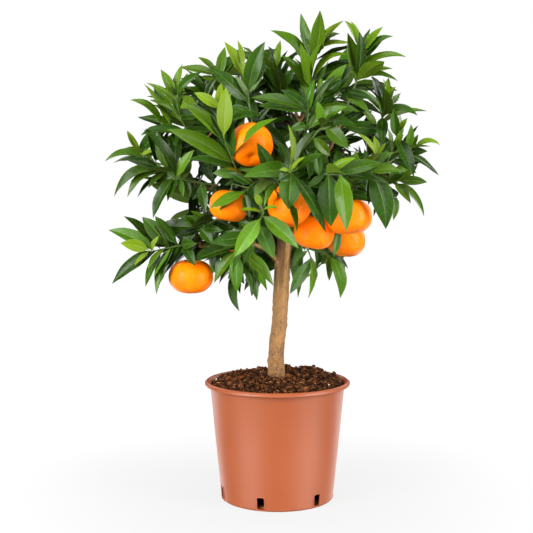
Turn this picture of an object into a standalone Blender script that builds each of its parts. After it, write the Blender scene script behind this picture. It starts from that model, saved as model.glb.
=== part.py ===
"""Potted mandarin tree: pot, soil, trunk, leafy sprays, young shoots and mandarins.

Lengths are in millimetres in this source and become metres when a mesh is made. The front of the tree
looks along -Y, +Z is up, and the origin is the centre of the underside of the pot. Places marked "seen"
are an (x, z) pair on the upright plane through the trunk, as the tree is looked at from the front, with
the depth y given beside them.
"""
import math
import random

import bmesh
import bpy
import numpy as np
from mathutils import Matrix, Vector
from mathutils.bvhtree import BVHTree

MM = 0.001
OBJECT_NAME = "potted_mandarin_tree"
SEED = 20260
FIT_GAP = 0.3

# Where the front view is looked at from.
EYE = Vector((-15.0, -1492.0, 440.0))

# Pot.
POT_HEIGHT = 163.0
POT_RIM_RADIUS = 100.0
POT_NECK_RADIUS = 92.5
POT_FOOT_RADIUS = 77.5
POT_WALL = 2.6
POT_FLOOR = 4.0
POT_LIP_HEIGHT = 9.0
POT_SIDES = 28
SLOT_COUNT = 6
SLOT_FIRST_ANGLE = -78.0
SLOT_WIDTH = 10.0
SLOT_HEIGHT = 15.0
SLOT_BOTTOM = 3.0

# Soil.
SOIL_EDGE_HEIGHT = 154.0
SOIL_CROWN_HEIGHT = 163.0
SOIL_BUMP = 1.8
TRUNK_HOLE_RADIUS = 13.9

# Wood.
TRUNK_FOOT = 60.0
TWIG_RADIUS = 1.9
STEM_BASE_RADIUS = 1.75
STEM_TIP_RADIUS = 1.05
YOUNG_BASE_RADIUS = 1.3
YOUNG_TIP_RADIUS = 0.8
STALK_RADIUS = 1.1
CALYX_RADIUS = 4.2

# Leaf blade: two stations along the midrib, their share of the full width, and half the thickness there.
RING_PLACE = (0.30, 0.64)
RING_SHARE = (0.86, 0.92)
RING_HALF_THICKNESS = (0.85, 0.62)
TRIM_PLACE = 0.12
ROOT_SPACING = 2.6
ROOT_SINK = 0.4
BLADE_FOLD = math.radians(19.0)
BLADE_BOW = 0.11
NATURAL_SLENDERNESS = 0.34
CLEARANCE = 0.5

# Outline of the crown as seen from the front.
CROWN_OUTLINE = (
    (-235, 463), (-212, 479), (-204, 505), (-188, 488), (-187, 500), (-176, 509), (-195, 524), (-178, 528),
    (-200, 546), (-180, 568), (-160, 586), (-128, 594), (-108, 603), (-84, 604), (-72, 622), (-54, 624),
    (-40, 612), (-17, 624), (-10, 612), (3, 624), (-8, 637), (24, 626), (31, 661), (48, 640), (57, 664),
    (90, 651), (112, 638), (142, 643), (156, 631), (150, 614), (173, 603), (158, 588), (163, 571),
    (146, 566), (169, 557), (190, 531), (203, 530), (172, 518), (191, 512), (196, 492), (220, 485),
    (203, 470), (219, 445), (190, 452), (176, 446), (204, 435), (184, 424), (199, 390), (176, 408),
    (158, 384), (154, 400), (148, 372), (134, 398), (130, 360), (118, 340), (97, 318), (90, 282),
    (60, 300), (44, 277), (18, 280), (16, 300), (-5, 300), (-28, 274), (-52, 260), (-72, 292), (-87, 298),
    (-118, 300), (-150, 300), (-166, 282), (-180, 294), (-172, 320), (-226, 297), (-186, 338),
    (-214, 352), (-230, 370), (-184, 388), (-166, 388), (-130, 402), (-120, 412), (-150, 410),
    (-166, 390), (-174, 424), (-205, 415), (-192, 440), (-222, 416), (-204, 448),
)

# Openings in the crown through which the background is seen: centre and radius.
CROWN_WINDOWS = ((-140, 401, 11), (-87, 434, 11), (-158, 404, 9), (-90, 382, 6))

# Main limbs, as points (x, y, z), and the radius at both ends.
TRUNK_LINE = ((-1, 0, TRUNK_FOOT), (-1, 0, 120), (-1, 0, 168), (-1.5, 0, 192), (0, 0, 219), (3.6, 0, 247),
              (5, 0, 288), (7, 0, 329), (9, 0, 352), (12, 1, 385), (13, 1, 410))
TRUNK_RADII = (10.4, 11.0, 12.2, 11.2, 10.8, 10.8, 11.0, 11.2, 10.6, 8.6, 7.0)
LIMBS = (
    ("low_left", ((4, 0, 322), (-14, -10, 344), (-38, -20, 354), (-76, -32, 353), (-104, -42, 350)), 4.6, 2.6),
    ("left", ((8, 0, 352), (-14, 8, 388), (-48, 4, 414), (-84, -10, 424), (-112, -20, 432)), 5.4, 2.6),
    ("upper_left", ((11, 0, 366), (-6, -4, 410), (-36, -12, 462), (-62, -18, 500), (-84, -24, 520)), 5.6, 2.6),
    ("leader", ((12, 0, 385), (15, 0, 430), (22, 0, 480), (30, -4, 515)), 7.2, 3.0),
    ("upper_right", ((12, 0, 378), (38, -6, 424), (66, -12, 472), (84, -14, 512)), 5.6, 2.6),
    ("right", ((11, 0, 360), (42, -4, 388), (84, -10, 410), (116, -12, 422)), 5.4, 2.6),
    ("front", ((10, -2, 352), (4, -34, 392), (-4, -66, 432), (-2, -78, 462)), 5.2, 2.4),
    ("back_left", ((9, 3, 358), (-22, 42, 398), (-52, 84, 436), (-70, 104, 480)), 5.2, 2.4),
    ("back_right", ((11, 3, 364), (34, 44, 402), (64, 84, 444), (80, 104, 492)), 5.2, 2.4),
    ("back_low", ((7, 4, 336), (8, 46, 362), (12, 88, 380), (14, 112, 402)), 4.8, 2.4),
)

# Mandarins: name, seen centre, depth, half width, half height, direction of the stalk end, spray, place on it.
# The two at the back have no seen centre: they hang below their place on the spray by HANG_DROP.
MANDARINS = (
    ("mandarin_upper", -36, 486, -112, 30.0, 27.5, (-0.1, 0.72, 0.68), "spray_top_mid_left", 0.08),
    ("mandarin_left", -66, 403, -96, 27.0, 22.5, (0.15, 0.1, 1.0), "spray_mid_left_front", 0.75),
    ("mandarin_low_left", -118.5, 306.5, -52, 30.5, 24.0, (0.0, -0.12, 1.0), "spray_low_left", 0.1),
    ("mandarin_centre", 16.5, 404, -122, 30.5, 27.5, (-0.6, -0.55, 0.6), "spray_centre_left", 0.9),
    ("mandarin_centre_low", 50, 367, -86, 28.0, 24.5, (0.15, 0.0, 1.0), "spray_between_mandarins", 0.12),
    ("mandarin_right", 98, 387.5, -114, 31.0, 25.0, (-0.1, 0.15, 1.0), "spray_right_front", 0.2),
    ("mandarin_low_right", 93, 356, -46, 27.0, 23.5, (0.1, 0.25, 1.0), "spray_right_centre", 0.3),
    ("mandarin_back_high", None, None, None, 28.5, 24.5, (0.0, -0.3, 1.0), "spray_back_1", 0.97),
    ("mandarin_back_low", None, None, None, 28.0, 24.0, (0.0, -0.2, 1.0), "spray_back_5", 0.6),
)
HANG_DROP = 44.0


class Spray:
    """One leafy spray: its stems as seen points with depth, and its leaves picked from the front view.

    A leaf is (stem index, place on the stem, seen x and z of the tip, seen width, depth step of the tip).
    """

    def __init__(self, name, stems, leaves, fill=0, mother=None):
        self.name = name
        self.stems = stems
        self.leaves = leaves
        self.fill = fill
        self.mother = mother


SPRAYS = (
    Spray("spray_left_high", (
        ((-112, 492, -35), (-135, 503, -42), (-158, 515, -50)),
        ((-116, 494, -36), (-131, 520, -46), (-139, 552, -54)),
    ), (
        (0, 0.95, -200, 546, 11, 0), (0, 1.0, -195, 524, 7, -5), (0, 0.85, -186, 498, 8, -8),
        (0, 0.8, -168, 564, 16, 12), (0, 0.9, -181, 568, 9, -4), (0, 0.7, -175, 521, 8, 10),
        (1, 1.0, -158, 587, 13, -6), (1, 0.95, -128, 594, 12, 4), (1, 0.95, -178, 569, 8, 8),
        (1, 0.9, -146, 569, 8, -14), (1, 0.55, -174, 546, 9, -10), (1, 0.42, -171, 540, 9, 6),
        (1, 0.85, -121, 583, 9, 10),
    ), 1),
    Spray("spray_top_left", (
        ((-62, 515, -15), (-74, 548, -12), (-80, 580, -8)),
        ((-65, 520, -14), (-86, 538, -5), (-102, 560, 0)),
    ), (
        (0, 1.0, -134, 589, 11, 6), (0, 0.97, -108, 603, 9, -8), (0, 1.0, -71, 617, 15, 8),
        (0, 0.8, -104, 578, 9, 10), (1, 1.0, -127, 589, 6, -8), (1, 0.95, -119, 585, 8, 8),
        (1, 0.9, -93, 578, 7, -4), (1, 0.85, -125, 563, 8, -10), (1, 0.6, -108, 546, 9, 12),
    ), 1),
    Spray("spray_front_left", (
        ((-48, 434, -96), (-60, 462, -122), (-72, 494, -136)),
    ), (
        (0, 0.45, -150, 507, 22, -5), (0, 0.6, 0, 522, 10, -14), (0, 0.9, -129, 542, 16, 2),
        (0, 0.2, -88, 447, 14, 4),
    ), 1),
    Spray("spray_top_mid_left", (
        ((-34, 508, -30), (-38, 535, -36), (-40, 558, -40)),
    ), (
        (0, 0.95, -17, 624, 19, -10), (0, 0.8, -60, 582, 8, -16), (0, 1.0, -14, 591, 11, -14),
        (0, 1.0, -44, 616, 8, 10), (0, 0.9, -85, 566, 10, 12), (0, 0.4, -66, 536, 12, 8),
    ), 1),
    Spray("spray_top_mid", (
        ((8, 520, 10), (4, 556, 8), (-1, 590, 8)),
    ), (
        (0, 1.0, 4, 626, 11, 5), (0, 0.95, -28, 601, 8, 4), (0, 1.0, -13, 618, 7, 10),
        (0, 0.5, -24, 598, 13, -18), (0, 0.7, 14, 613, 7, 8), (0, 0.4, -17, 578, 11, -8),
        (0, 0.45, 24, 591, 14, -8),
    ), 2),
    Spray("spray_leader", (
        ((36, 528, -8), (44, 566, -12), (50, 612, -14)),
    ), (
        (0, 0.65, -10, 639, 16, -8), (0, 0.42, 5, 606, 14, -22), (0, 0.82, 31, 662, 15, 4),
        (0, 0.87, 57, 666, 21, 0), (0, 0.97, 85, 634, 10, 10), (0, 0.5, 96, 607, 9, -14),
        (0, 0.55, 59, 622, 10, -14), (0, 0.52, 30, 622, 15, -12), (0, 0.22, 26, 582, 12, -10),
        (0, 0.16, 10, 562, 9, 4), (0, 0.93, 74, 638, 10, 14),
    ), 1),
    Spray("spray_right_high", (
        ((92, 532, -15), (108, 575, -22), (112, 614, -26)),
    ), (
        (0, 0.42, 94, 636, 19, -16), (0, 0.5, 163, 571, 8, -4), (0, 0.52, 110, 638, 14, -20),
        (0, 0.56, 156, 588, 8, 6), (0, 0.62, 174, 603, 10, -2), (0, 0.68, 142, 626, 11, 8),
        (0, 0.8, 156, 631, 10, -6), (0, 0.9, 142, 644, 11, 0), (0, 0.97, 99, 651, 11, -4),
        (0, 1.0, 90, 652, 10, -12), (0, 0.97, 125, 642, 8, 10), (0, 0.75, 134, 606, 10, -14),
    ), 1),
    Spray("spray_right_shoulder", (
        ((126, 490, 0), (141, 518, -4), (146, 547, -6)),
    ), (
        (0, 0.65, 101, 560, 11, -14), (0, 0.9, 125, 577, 10, -6), (0, 1.0, 142, 575, 8, 6),
        (0, 1.0, 148, 572, 9, -10), (0, 0.95, 158, 559, 8, -14), (0, 0.72, 169, 558, 12, 0),
        (0, 0.6, 190, 525, 12, -8), (0, 0.35, 203, 531, 7, 10), (0, 0.3, 113, 534, 10, -16),
    ), 1),
    Spray("spray_far_right", (
        ((138, 446, -12), (152, 468, -18), (162, 498, -24)),
        ((146, 457, -15), (166, 472, -8), (186, 482, -4)),
    ), (
        (0, 1.0, 157, 535, 14, -4), (0, 0.92, 166, 526, 12, 10), (0, 0.62, 149, 511, 9, -14),
        (0, 0.75, 171, 500, 9, -14), (0, 0.5, 126, 499, 10, -8), (1, 0.75, 181, 514, 11, -8),
        (1, 0.5, 191, 512, 9, 8), (1, 1.0, 221, 485, 8, 2), (1, 0.6, 204, 477, 13, -12),
        (1, 0.3, 189, 447, 11, -10), (1, 0.75, 220, 444, 9, 4), (1, 1.0, 191, 500, 7, -6),
    ), 1),
    Spray("spray_right_mid", (
        ((122, 424, -18), (144, 430, -24), (165, 437, -28)),
        ((132, 427, -21), (150, 425, -20), (163, 416, -18)),
    ), (
        (0, 1.0, 204, 435, 15, -2), (0, 0.85, 182, 406, 12, -12), (0, 0.92, 200, 388, 11, 10),
        (0, 0.95, 176, 449, 9, -8), (1, 0.95, 158, 383, 10, -4), (0, 0.5, 167, 452, 9, 8),
        (1, 0.5, 131, 388, 7, 2),
    ), 1),
    Spray("spray_right_front", (
        ((90, 428, -92), (108, 442, -118), (128, 450, -132)),
    ), (
        (0, 1.0, 148, 371, 30, -10), (0, 0.9, 124, 404, 12, -4), (0, 0.85, 169, 451, 12, 10),
        (0, 0.95, 158, 476, 12, 6), (0, 0.5, 106, 478, 12, -10),
    ), 2),
    Spray("spray_front_right", (
        ((40, 432, -108), (64, 446, -148), (88, 445, -158)),
    ), (
        (0, 0.6, 73, 374, 30, -4), (0, 1.0, 96, 398, 19, -4), (0, 1.0, 94, 368, 19, -14),
        (0, 0.85, 142, 460, 18, 4), (0, 0.55, 106, 468, 11, -14), (0, 0.35, 52, 480, 12, 6),
    ), 1),
    Spray("spray_centre_front", (
        ((34, 470, -94), (26, 452, -132), (17, 449, -158)),
    ), (
        (0, 0.85, 52, 506, 12, -4), (0, 0.97, 0, 492, 12, 8), (0, 0.7, 63, 474, 11, 4),
        (0, 1.0, 15, 398, 29, -6),
    ), 1),
    Spray("spray_centre_left", (
        ((-22, 452, -92), (-6, 444, -122), (2, 433, -142)),
    ), (
        (0, 0.7, -28, 489, 19, -16), (0, 1.0, -52, 452, 10, -14), (0, 1.0, -18, 402, 8, -10),
        (0, 0.95, 27, 366, 11, -18),
    ), 1),
    Spray("spray_below_centre", (
        ((-34, 362, -84), (-29, 376, -114), (-20, 391, -136)),
    ), (
        (0, 0.85, -60, 332, 22, -6), (0, 0.6, -4, 331, 20, 0), (0, 0.95, 29, 345, 18, -10),
        (0, 0.3, -52, 382, 10, 8),
    ), 1),
    Spray("spray_mid_left_front", (
        ((-18, 440, -88), (-32, 434, -112), (-46, 420, -128)),
    ), (
        (0, 0.4, -28, 400, 25, -12), (0, 1.0, -93, 399, 14, -6), (0, 0.95, -80, 396, 9, 10),
        (0, 0.6, -66, 448, 13, 4), (0, 0.25, 4, 420, 12, 4),
    ), 1),
    Spray("spray_low_centre", (
        ((-36, 356, -38), (-48, 350, -60), (-57, 341, -76)),
        ((-39, 355, -43), (-46, 340, -36), (-50, 324, -28)),
    ), (
        (0, 1.0, -56, 284, 19, -6), (0, 1.0, -87, 297, 14, 2), (0, 0.9, -5, 293, 18, -4),
        (1, 1.0, -52, 258, 12, 2), (1, 0.8, -28, 273, 14, -2), (1, 0.6, -14, 286, 13, 14),
        (1, 0.9, -80, 296, 10, 14),
    ), 1),
    Spray("spray_low_left_inner", (
        ((-56, 372, -40), (-84, 384, -50), (-110, 369, -58)),
        ((-64, 376, -43), (-76, 366, -52), (-84, 352, -58)),
    ), (
        (0, 0.78, -133, 387, 14, 2), (0, 0.7, -119, 396, 8, -6), (0, 1.0, -128, 389, 7, -12),
        (0, 0.95, -88, 350, 16, -10), (1, 1.0, -89, 309, 14, -4), (1, 0.8, -70, 345, 9, 4),
        (0, 0.5, -38, 388, 12, -18),
    ), 1),
    Spray("spray_low_left", (
        ((-108, 352, -50), (-138, 348, -60), (-170, 341, -66)),
    ), (
        (0, 1.0, -231, 370, 22, 4), (0, 1.0, -227, 296, 18, 0), (0, 0.95, -210, 389, 14, 12),
        (0, 0.8, -181, 292, 11, -8), (0, 0.85, -178, 315, 8, -16), (0, 0.65, -185, 388, 22, 2),
        (0, 0.7, -169, 378, 9, -14), (0, 0.45, -167, 389, 17, -10), (0, 0.42, -110, 351, 15, -20),
        (0, 0.4, -112, 320, 14, -24), (0, 0.55, -166, 281, 14, -10), (0, 0.6, -169, 305, 12, -18),
        (0, 0.3, -155, 309, 13, 14),
    ), 0),
    Spray("spray_left_mid", (
        ((-116, 438, -40), (-138, 446, -50), (-160, 453, -58)),
        ((-124, 442, -43), (-154, 458, -34), (-182, 467, -28)),
    ), (
        (0, 1.0, -207, 466, 14, -4), (0, 0.95, -223, 415, 14, 4), (0, 0.95, -205, 414, 12, -8),
        (0, 0.92, -176, 427, 10, -14), (0, 1.0, -163, 510, 15, -10), (0, 0.9, -160, 504, 9, 6),
        (1, 0.95, -235, 463, 11, 2), (1, 0.9, -224, 461, 8, 12), (1, 0.7, -210, 480, 11, 14),
    ), 1),
    Spray("spray_left_lower", (
        ((-92, 432, -52), (-118, 436, -62), (-143, 442, -70)),
    ), (
        (0, 1.0, -170, 386, 15, -8), (0, 0.95, -113, 479, 13, -14), (0, 0.92, -150, 409, 9, -14),
        (0, 0.8, -128, 415, 9, -14), (0, 0.6, -120, 412, 9, -6), (0, 0.75, -124, 476, 19, 12),
        (0, 0.15, -106, 416, 14, -8), (0, 0.2, -98, 393, 13, -12),
    ), 1),
    Spray("spray_right_upper_inner", (
        ((38, 508, -48), (52, 532, -66), (64, 557, -78)),
        ((43, 517, -54), (68, 534, -54), (90, 560, -60)),
    ), (
        (0, 0.55, 112, 530, 12, -12), (0, 1.0, 88, 580, 12, -6), (0, 0.95, 75, 559, 9, -18),
        (0, 1.0, 93, 594, 11, 8), (0, 0.85, 58, 576, 10, -12), (0, 0.35, 84, 527, 8, -22),
        (0, 0.25, 108, 512, 16, 6), (1, 0.9, 125, 528, 12, -8), (1, 1.0, 97, 547, 11, -22),
    ), 1),
    Spray("spray_right_inner_front", (
        ((32, 478, -86), (48, 496, -106), (65, 514, -120)),
    ), (
        (0, 1.0, 97, 480, 19, -12), (0, 0.75, 82, 518, 8, -16), (0, 0.9, 54, 545, 12, -6),
        (0, 0.5, 72, 470, 15, 6),
    ), 2),
    Spray("spray_right_centre", (
        ((106, 440, -46), (122, 452, -58), (134, 462, -68)),
    ), (
        (0, 1.0, 155, 444, 17, -8), (0, 0.8, 170, 446, 11, 8), (0, 0.6, 118, 480, 9, 4),
        (0, 0.4, 96, 468, 12, 10),
    ), 1),
    Spray("spray_top_front", (
        ((32, 492, -78), (40, 512, -98), (42, 534, -110)),
    ), (
        (0, 1.0, -37, 549, 13, -4), (0, 0.9, -27, 538, 15, 16), (0, 0.5, 16, 506, 12, -14),
        (0, 0.95, 50, 574, 11, 4),
    ), 2),
    Spray("spray_low_right", (
        ((34, 352, -12), (42, 342, -26), (47, 329, -34)),
        ((36, 350, -15), (56, 344, -24), (71, 335, -32)),
    ), (
        (0, 1.0, 17, 282, 19, -6), (0, 0.95, 28, 276, 10, 8), (0, 1.0, 42, 275, 8, -4),
        (0, 0.9, 51, 290, 8, 4), (1, 1.0, 86, 276, 17, -4), (1, 0.9, 71, 300, 10, 8),
        (1, 0.95, 97, 317, 9, 14), (0, 0.5, 20, 318, 9, 8),
    ), 1),
    Spray("spray_between_mandarins", (
        ((66, 412, -72), (78, 394, -82), (84, 372, -84)),
    ), (
        (0, 1.0, 77, 333, 12, -6), (0, 0.4, 45, 398, 9, -4), (0, 0.3, 104, 424, 12, 14),
    ), 0),
)

YOUNG = (
    Spray("young_front_left", (
        ((-72, 494, -136), (-76, 516, -142), (-77, 536, -140)),
    ), (
        (0, 0.3, -70, 564, 22, -8), (0, 1.0, -113, 556, 13, 4), (0, 1.0, -76, 569, 10, 14),
        (0, 0.8, -62, 556, 8, 10),
    ), 0, ("spray_front_left", 0)),
    Spray("young_top_mid_left", (
        ((-40, 558, -40), (-45, 574, -43), (-49, 588, -42)),
    ), (
        (0, 0.7, -72, 624, 15, -4), (0, 1.0, -54, 626, 9, 6), (0, 0.9, -30, 606, 7, 12),
    ), 0, ("spray_top_mid_left", 0)),
    Spray("young_leader", (
        ((50, 612, -14), (51, 620, -15), (52, 628, -15)),
    ), (
        (0, 0.5, 89, 652, 11, -4), (0, 0.9, 66, 640, 9, -12), (0, 1.0, 42, 636, 5, -5),
        (0, 0.6, 99, 622, 7, -14),
    ), 0, ("spray_leader", 0)),
    Spray("young_below_centre", (
        ((-20, 391, -136), (-21, 397, -141), (-22, 403, -144)),
    ), (
        (0, 1.0, -31, 422, 10, -4), (0, 0.5, -53, 397, 5, -10), (0, 0.7, 1, 401, 5, -14),
    ), 0, ("spray_below_centre", 0)),
    Spray("young_low_left", (
        ((-170, 341, -66), (-173, 342, -70), (-176, 343, -74)),
    ), (
        (0, 1.0, -215, 352, 17, -8), (0, 0.8, -196, 321, 6, -14), (0, 0.8, -162, 362, 7, -10),
    ), 0, ("spray_low_left", 0)),
    Spray("young_left_mid", (
        ((-182, 467, -28), (-184, 471, -29), (-186, 476, -29)),
    ), (
        (0, 1.0, -204, 505, 10, -4), (0, 0.7, -166, 478, 6, -8),
    ), 0, ("spray_left_mid", 1)),
    Spray("young_right", (
        ((134, 462, -68), (134, 467, -72), (133, 473, -75)),
    ), (
        (0, 1.0, 109, 501, 7, -4), (0, 0.9, 147, 488, 6, -6), (0, 1.0, 131, 498, 7, -10),
    ), 0, ("spray_right_centre", 0)),
    Spray("young_centre_front", (
        ((17, 449, -158), (17, 454, -162), (18, 460, -165)),
    ), (
        (0, 0.9, 14, 514, 8, -4), (0, 0.6, 2, 452, 5, -8), (0, 0.6, 38, 470, 6, -8),
    ), 0, ("spray_centre_front", 0)),
    Spray("young_far_right", (
        ((162, 498, -24), (163, 503, -25), (163, 508, -26)),
    ), (
        (0, 1.0, 154, 524, 10, -12), (0, 0.8, 176, 522, 8, -10),
    ), 0, ("spray_far_right", 0)),
    Spray("young_right_shoulder", (
        ((146, 547, -6), (146, 551, -6), (147, 555, -7)),
    ), (
        (0, 1.0, 150, 576, 9, -6), (0, 0.8, 160, 564, 6, -8),
    ), 0, ("spray_right_shoulder", 0)),
)

# Sprays at the back and sides, placed by rule: azimuth from +X in degrees, height, leaf count.
BACK_SPRAYS = (
    (62, 486, 8), (118, 478, 8), (90, 545, 8), (40, 560, 7), (112, 398, 8), (150, 520, 7),
    (22, 440, 7), (70, 372, 8), (160, 415, 7), (98, 592, 6), (32, 345, 7),
)
BACK_DEPTH_RADIUS = 168.0
BACK_SIDE_RADIUS = 190.0
BACK_HALF_HEIGHT = 170.0
CROWN_CENTRE_HEIGHT = 462.0


def seen(x, z, y):
    """Give the place at depth y that shows at (x, z) in the front view."""
    reach = (y - EYE.y) / -EYE.y
    return Vector((EYE.x + (x - EYE.x) * reach, y, EYE.z + (z - EYE.z) * reach))


def to_front_view(point):
    """Give the seen (x, z) of a place."""
    reach = (point.y - EYE.y) / -EYE.y
    return EYE.x + (point.x - EYE.x) / reach, EYE.z + (point.z - EYE.z) / reach


def inside_outline(x, z):
    """Tell if a seen place lies inside the crown and not in one of its openings."""
    for window_x, window_z, radius in CROWN_WINDOWS:
        if math.hypot(x - window_x, z - window_z) < radius:
            return False
    inside = False
    last = CROWN_OUTLINE[-1]
    for corner in CROWN_OUTLINE:
        if (corner[1] > z) != (last[1] > z):
            crossing = corner[0] + (z - corner[1]) * (last[0] - corner[0]) / (last[1] - corner[1])
            if x < crossing:
                inside = not inside
        last = corner
    return inside


def smooth_path(points, count):
    """Give count places along a smooth curve through the points."""
    knots = [Vector(point) for point in points]
    first = knots[0] * 2.0 - knots[1]
    last = knots[-1] * 2.0 - knots[-2]
    padded = [first] + knots + [last]
    spans = len(knots) - 1
    path = []
    for index in range(count):
        place = spans * index / (count - 1)
        span = min(int(place), spans - 1)
        t = place - span
        a, b, c, d = padded[span:span + 4]
        path.append(0.5 * (2.0 * b + (c - a) * t + (2.0 * a - 5.0 * b + 4.0 * c - d) * t * t
                           + (3.0 * b - a - 3.0 * c + d) * t * t * t))
    return path


def point_on(path, place):
    """Give the place and the direction at a share of a path's length."""
    steps = len(path) - 1
    position = min(max(place, 0.0), 1.0) * steps
    index = min(int(position), steps - 1)
    spot = path[index].lerp(path[index + 1], position - index)
    return spot, (path[index + 1] - path[index]).normalized()


def collection_named(name, parent):
    """Make a collection inside another one."""
    made = bpy.data.collections.new(name)
    parent.children.link(made)
    return made


def mesh_object(name, mesh, collection):
    """Make an object from a mesh in a collection."""
    made = bpy.data.objects.new(name, mesh)
    collection.objects.link(made)
    return made


def tube_object(name, path, radii, sides, collection):
    """Make a closed tapered tube along a path."""
    curve = bpy.data.curves.new(name, "CURVE")
    curve.dimensions = "3D"
    curve.bevel_depth = MM
    curve.bevel_resolution = (sides - 4) // 2
    curve.use_fill_caps = True
    curve.twist_mode = "MINIMUM"
    spline = curve.splines.new("POLY")
    spline.points.add(len(path) - 1)
    for point, spot, radius in zip(spline.points, path, radii):
        point.co = (spot.x * MM, spot.y * MM, spot.z * MM, 1.0)
        point.radius = radius
    holder = bpy.data.objects.new(name + "_curve", curve)
    collection.objects.link(holder)
    bpy.context.view_layer.update()
    evaluated = holder.evaluated_get(bpy.context.evaluated_depsgraph_get())
    mesh = bpy.data.meshes.new_from_object(evaluated)
    mesh.transform(holder.matrix_world)
    bpy.data.objects.remove(holder)
    bpy.data.curves.remove(curve)
    work = bmesh.new()
    work.from_mesh(mesh)
    bmesh.ops.remove_doubles(work, verts=work.verts, dist=1e-6)
    bmesh.ops.recalc_face_normals(work, faces=work.faces)
    work.to_mesh(mesh)
    work.free()
    mesh.name = name
    return mesh_object(name, mesh, collection)


def make_blade_template():
    """Make the closed blade once: two ends and two rings of four, split alike on both faces."""
    work = bmesh.new()
    bmesh.ops.create_uvsphere(work, u_segments=4, v_segments=3, radius=1.0)
    work.verts.ensure_lookup_table()
    for face in list(work.faces):
        if len(face.verts) != 4:
            continue
        edge_low = [v for v in face.verts if abs(v.co.x) > abs(v.co.y)]
        rib_high = [v for v in face.verts if abs(v.co.y) > abs(v.co.x)]
        low = min(edge_low, key=lambda v: v.co.z)
        high = max(rib_high, key=lambda v: v.co.z)
        bmesh.utils.face_split(face, low, high)
    work.verts.index_update()
    return work


class BladePlan:
    """What the blade template's corners stand for, and its faces as index lists."""

    def __init__(self, template):
        self.corners = []
        for vert in template.verts:
            ring = None
            if abs(vert.co.z) < 0.9:
                ring = 0 if vert.co.z < 0.0 else 1
            self.corners.append((ring, vert.co.x, vert.co.y, vert.co.z))
        self.faces = [[v.index for v in face.verts] for face in template.faces]


class Leaf:
    """One leaf: where it grows from, where its tip is, and how it faces."""

    def __init__(self, root, tip, facing, width, bow=BLADE_BOW):
        self.root = root
        self.tip = tip
        self.facing = facing
        self.width = width
        self.bow = bow

    def corners(self, plan, grow=0.0, trimmed=False):
        """Give the places of the blade's corners, fattened by grow; a trimmed one starts further out."""
        chord = self.tip - self.root
        length = chord.length
        control = (self.root + self.tip) * 0.5 + self.facing * (self.bow * length)
        half = self.width * 0.5
        rise = math.sin(BLADE_FOLD)
        spread = math.cos(BLADE_FOLD)
        frames = []
        for place, share in zip(RING_PLACE, RING_SHARE):
            spot = (self.root * (1 - place) ** 2 + control * (2 * place * (1 - place)) + self.tip * place ** 2)
            along = ((control - self.root) * (1 - place) + (self.tip - control) * place).normalized()
            up = (self.facing - along * self.facing.dot(along)).normalized()
            side = up.cross(along)
            frames.append((spot, up, side, share))
        places = []
        for ring, x, y, z in plan.corners:
            if ring is None:
                end = self.root if z < 0.0 else self.tip
                if z < 0.0 and trimmed:
                    end = self.root.lerp(control, 2.0 * TRIM_PLACE)
                places.append(end + chord * (math.copysign(grow, z) / length))
                continue
            spot, up, side, share = frames[ring]
            if abs(x) > abs(y):
                reach = math.copysign(half * share * spread + grow, x)
                places.append(spot + side * reach + up * (half * share * rise))
            else:
                thick = RING_HALF_THICKNESS[ring] + grow
                places.append(spot + up * math.copysign(thick, y))
        return places


class Ground:
    """All the pieces placed so far, for keeping new ones clear of them."""

    def __init__(self):
        self.names = []
        self.trees = []
        self.outer_trees = []
        self.lows = np.zeros((0, 3))
        self.highs = np.zeros((0, 3))

    def add(self, name, places, faces, trimmed=None):
        """Remember a piece."""
        array = np.array([tuple(place) for place in places])
        self.names.append(name)
        self.trees.append(BVHTree.FromPolygons(places, faces))
        self.outer_trees.append(BVHTree.FromPolygons(places if trimmed is None else trimmed, faces))
        self.lows = np.vstack((self.lows, array.min(axis=0)))
        self.highs = np.vstack((self.highs, array.max(axis=0)))

    def add_object(self, name, holder):
        """Remember an object in metres."""
        places = [vert.co / MM for vert in holder.data.vertices]
        faces = [list(face.vertices) for face in holder.data.polygons]
        self.add(name, places, faces)

    def is_clear(self, name, places, trimmed, faces):
        """Tell if a blade crosses nothing; its root may enter its own node."""
        array = np.array([tuple(place) for place in places])
        low = array.min(axis=0)
        high = array.max(axis=0)
        near = np.all(self.lows <= high, axis=1) & np.all(self.highs >= low, axis=1)
        whole = BVHTree.FromPolygons(places, faces)
        outer = BVHTree.FromPolygons(trimmed, faces)
        for index in np.nonzero(near)[0]:
            if self.names[index] == name:
                if outer.overlap(self.outer_trees[index]):
                    return False
            elif whole.overlap(self.trees[index]):
                return False
        return True


def outward_at(spot):
    """Give the direction from the heart of the crown to a place."""
    away = Vector((spot.x - 5.0, spot.y, (spot.z - 420.0) * 0.6))
    return away.normalized() if away.length > 1.0 else Vector((0, 0, 1))


def facing_seen(root, tip, seen_width):
    """Give a leaf's full width and the way its upper face looks, from the width it shows in front."""
    chord = tip - root
    along = chord.normalized()
    sight = EYE - (root + tip) * 0.5
    toward = (sight - along * sight.dot(along)).normalized()
    side = along.cross(toward)
    upward = Vector((0, 0, 1)) + outward_at((root + tip) * 0.5) * 0.3
    if side.dot(upward) < 0.0:
        side = -side
    width = max(min(NATURAL_SLENDERNESS * chord.length, 26.0), abs(seen_width))
    share = min(1.0, abs(seen_width) / width)
    facing = toward * share + side * math.sqrt(1.0 - share * share)
    return width, facing.normalized()


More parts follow.
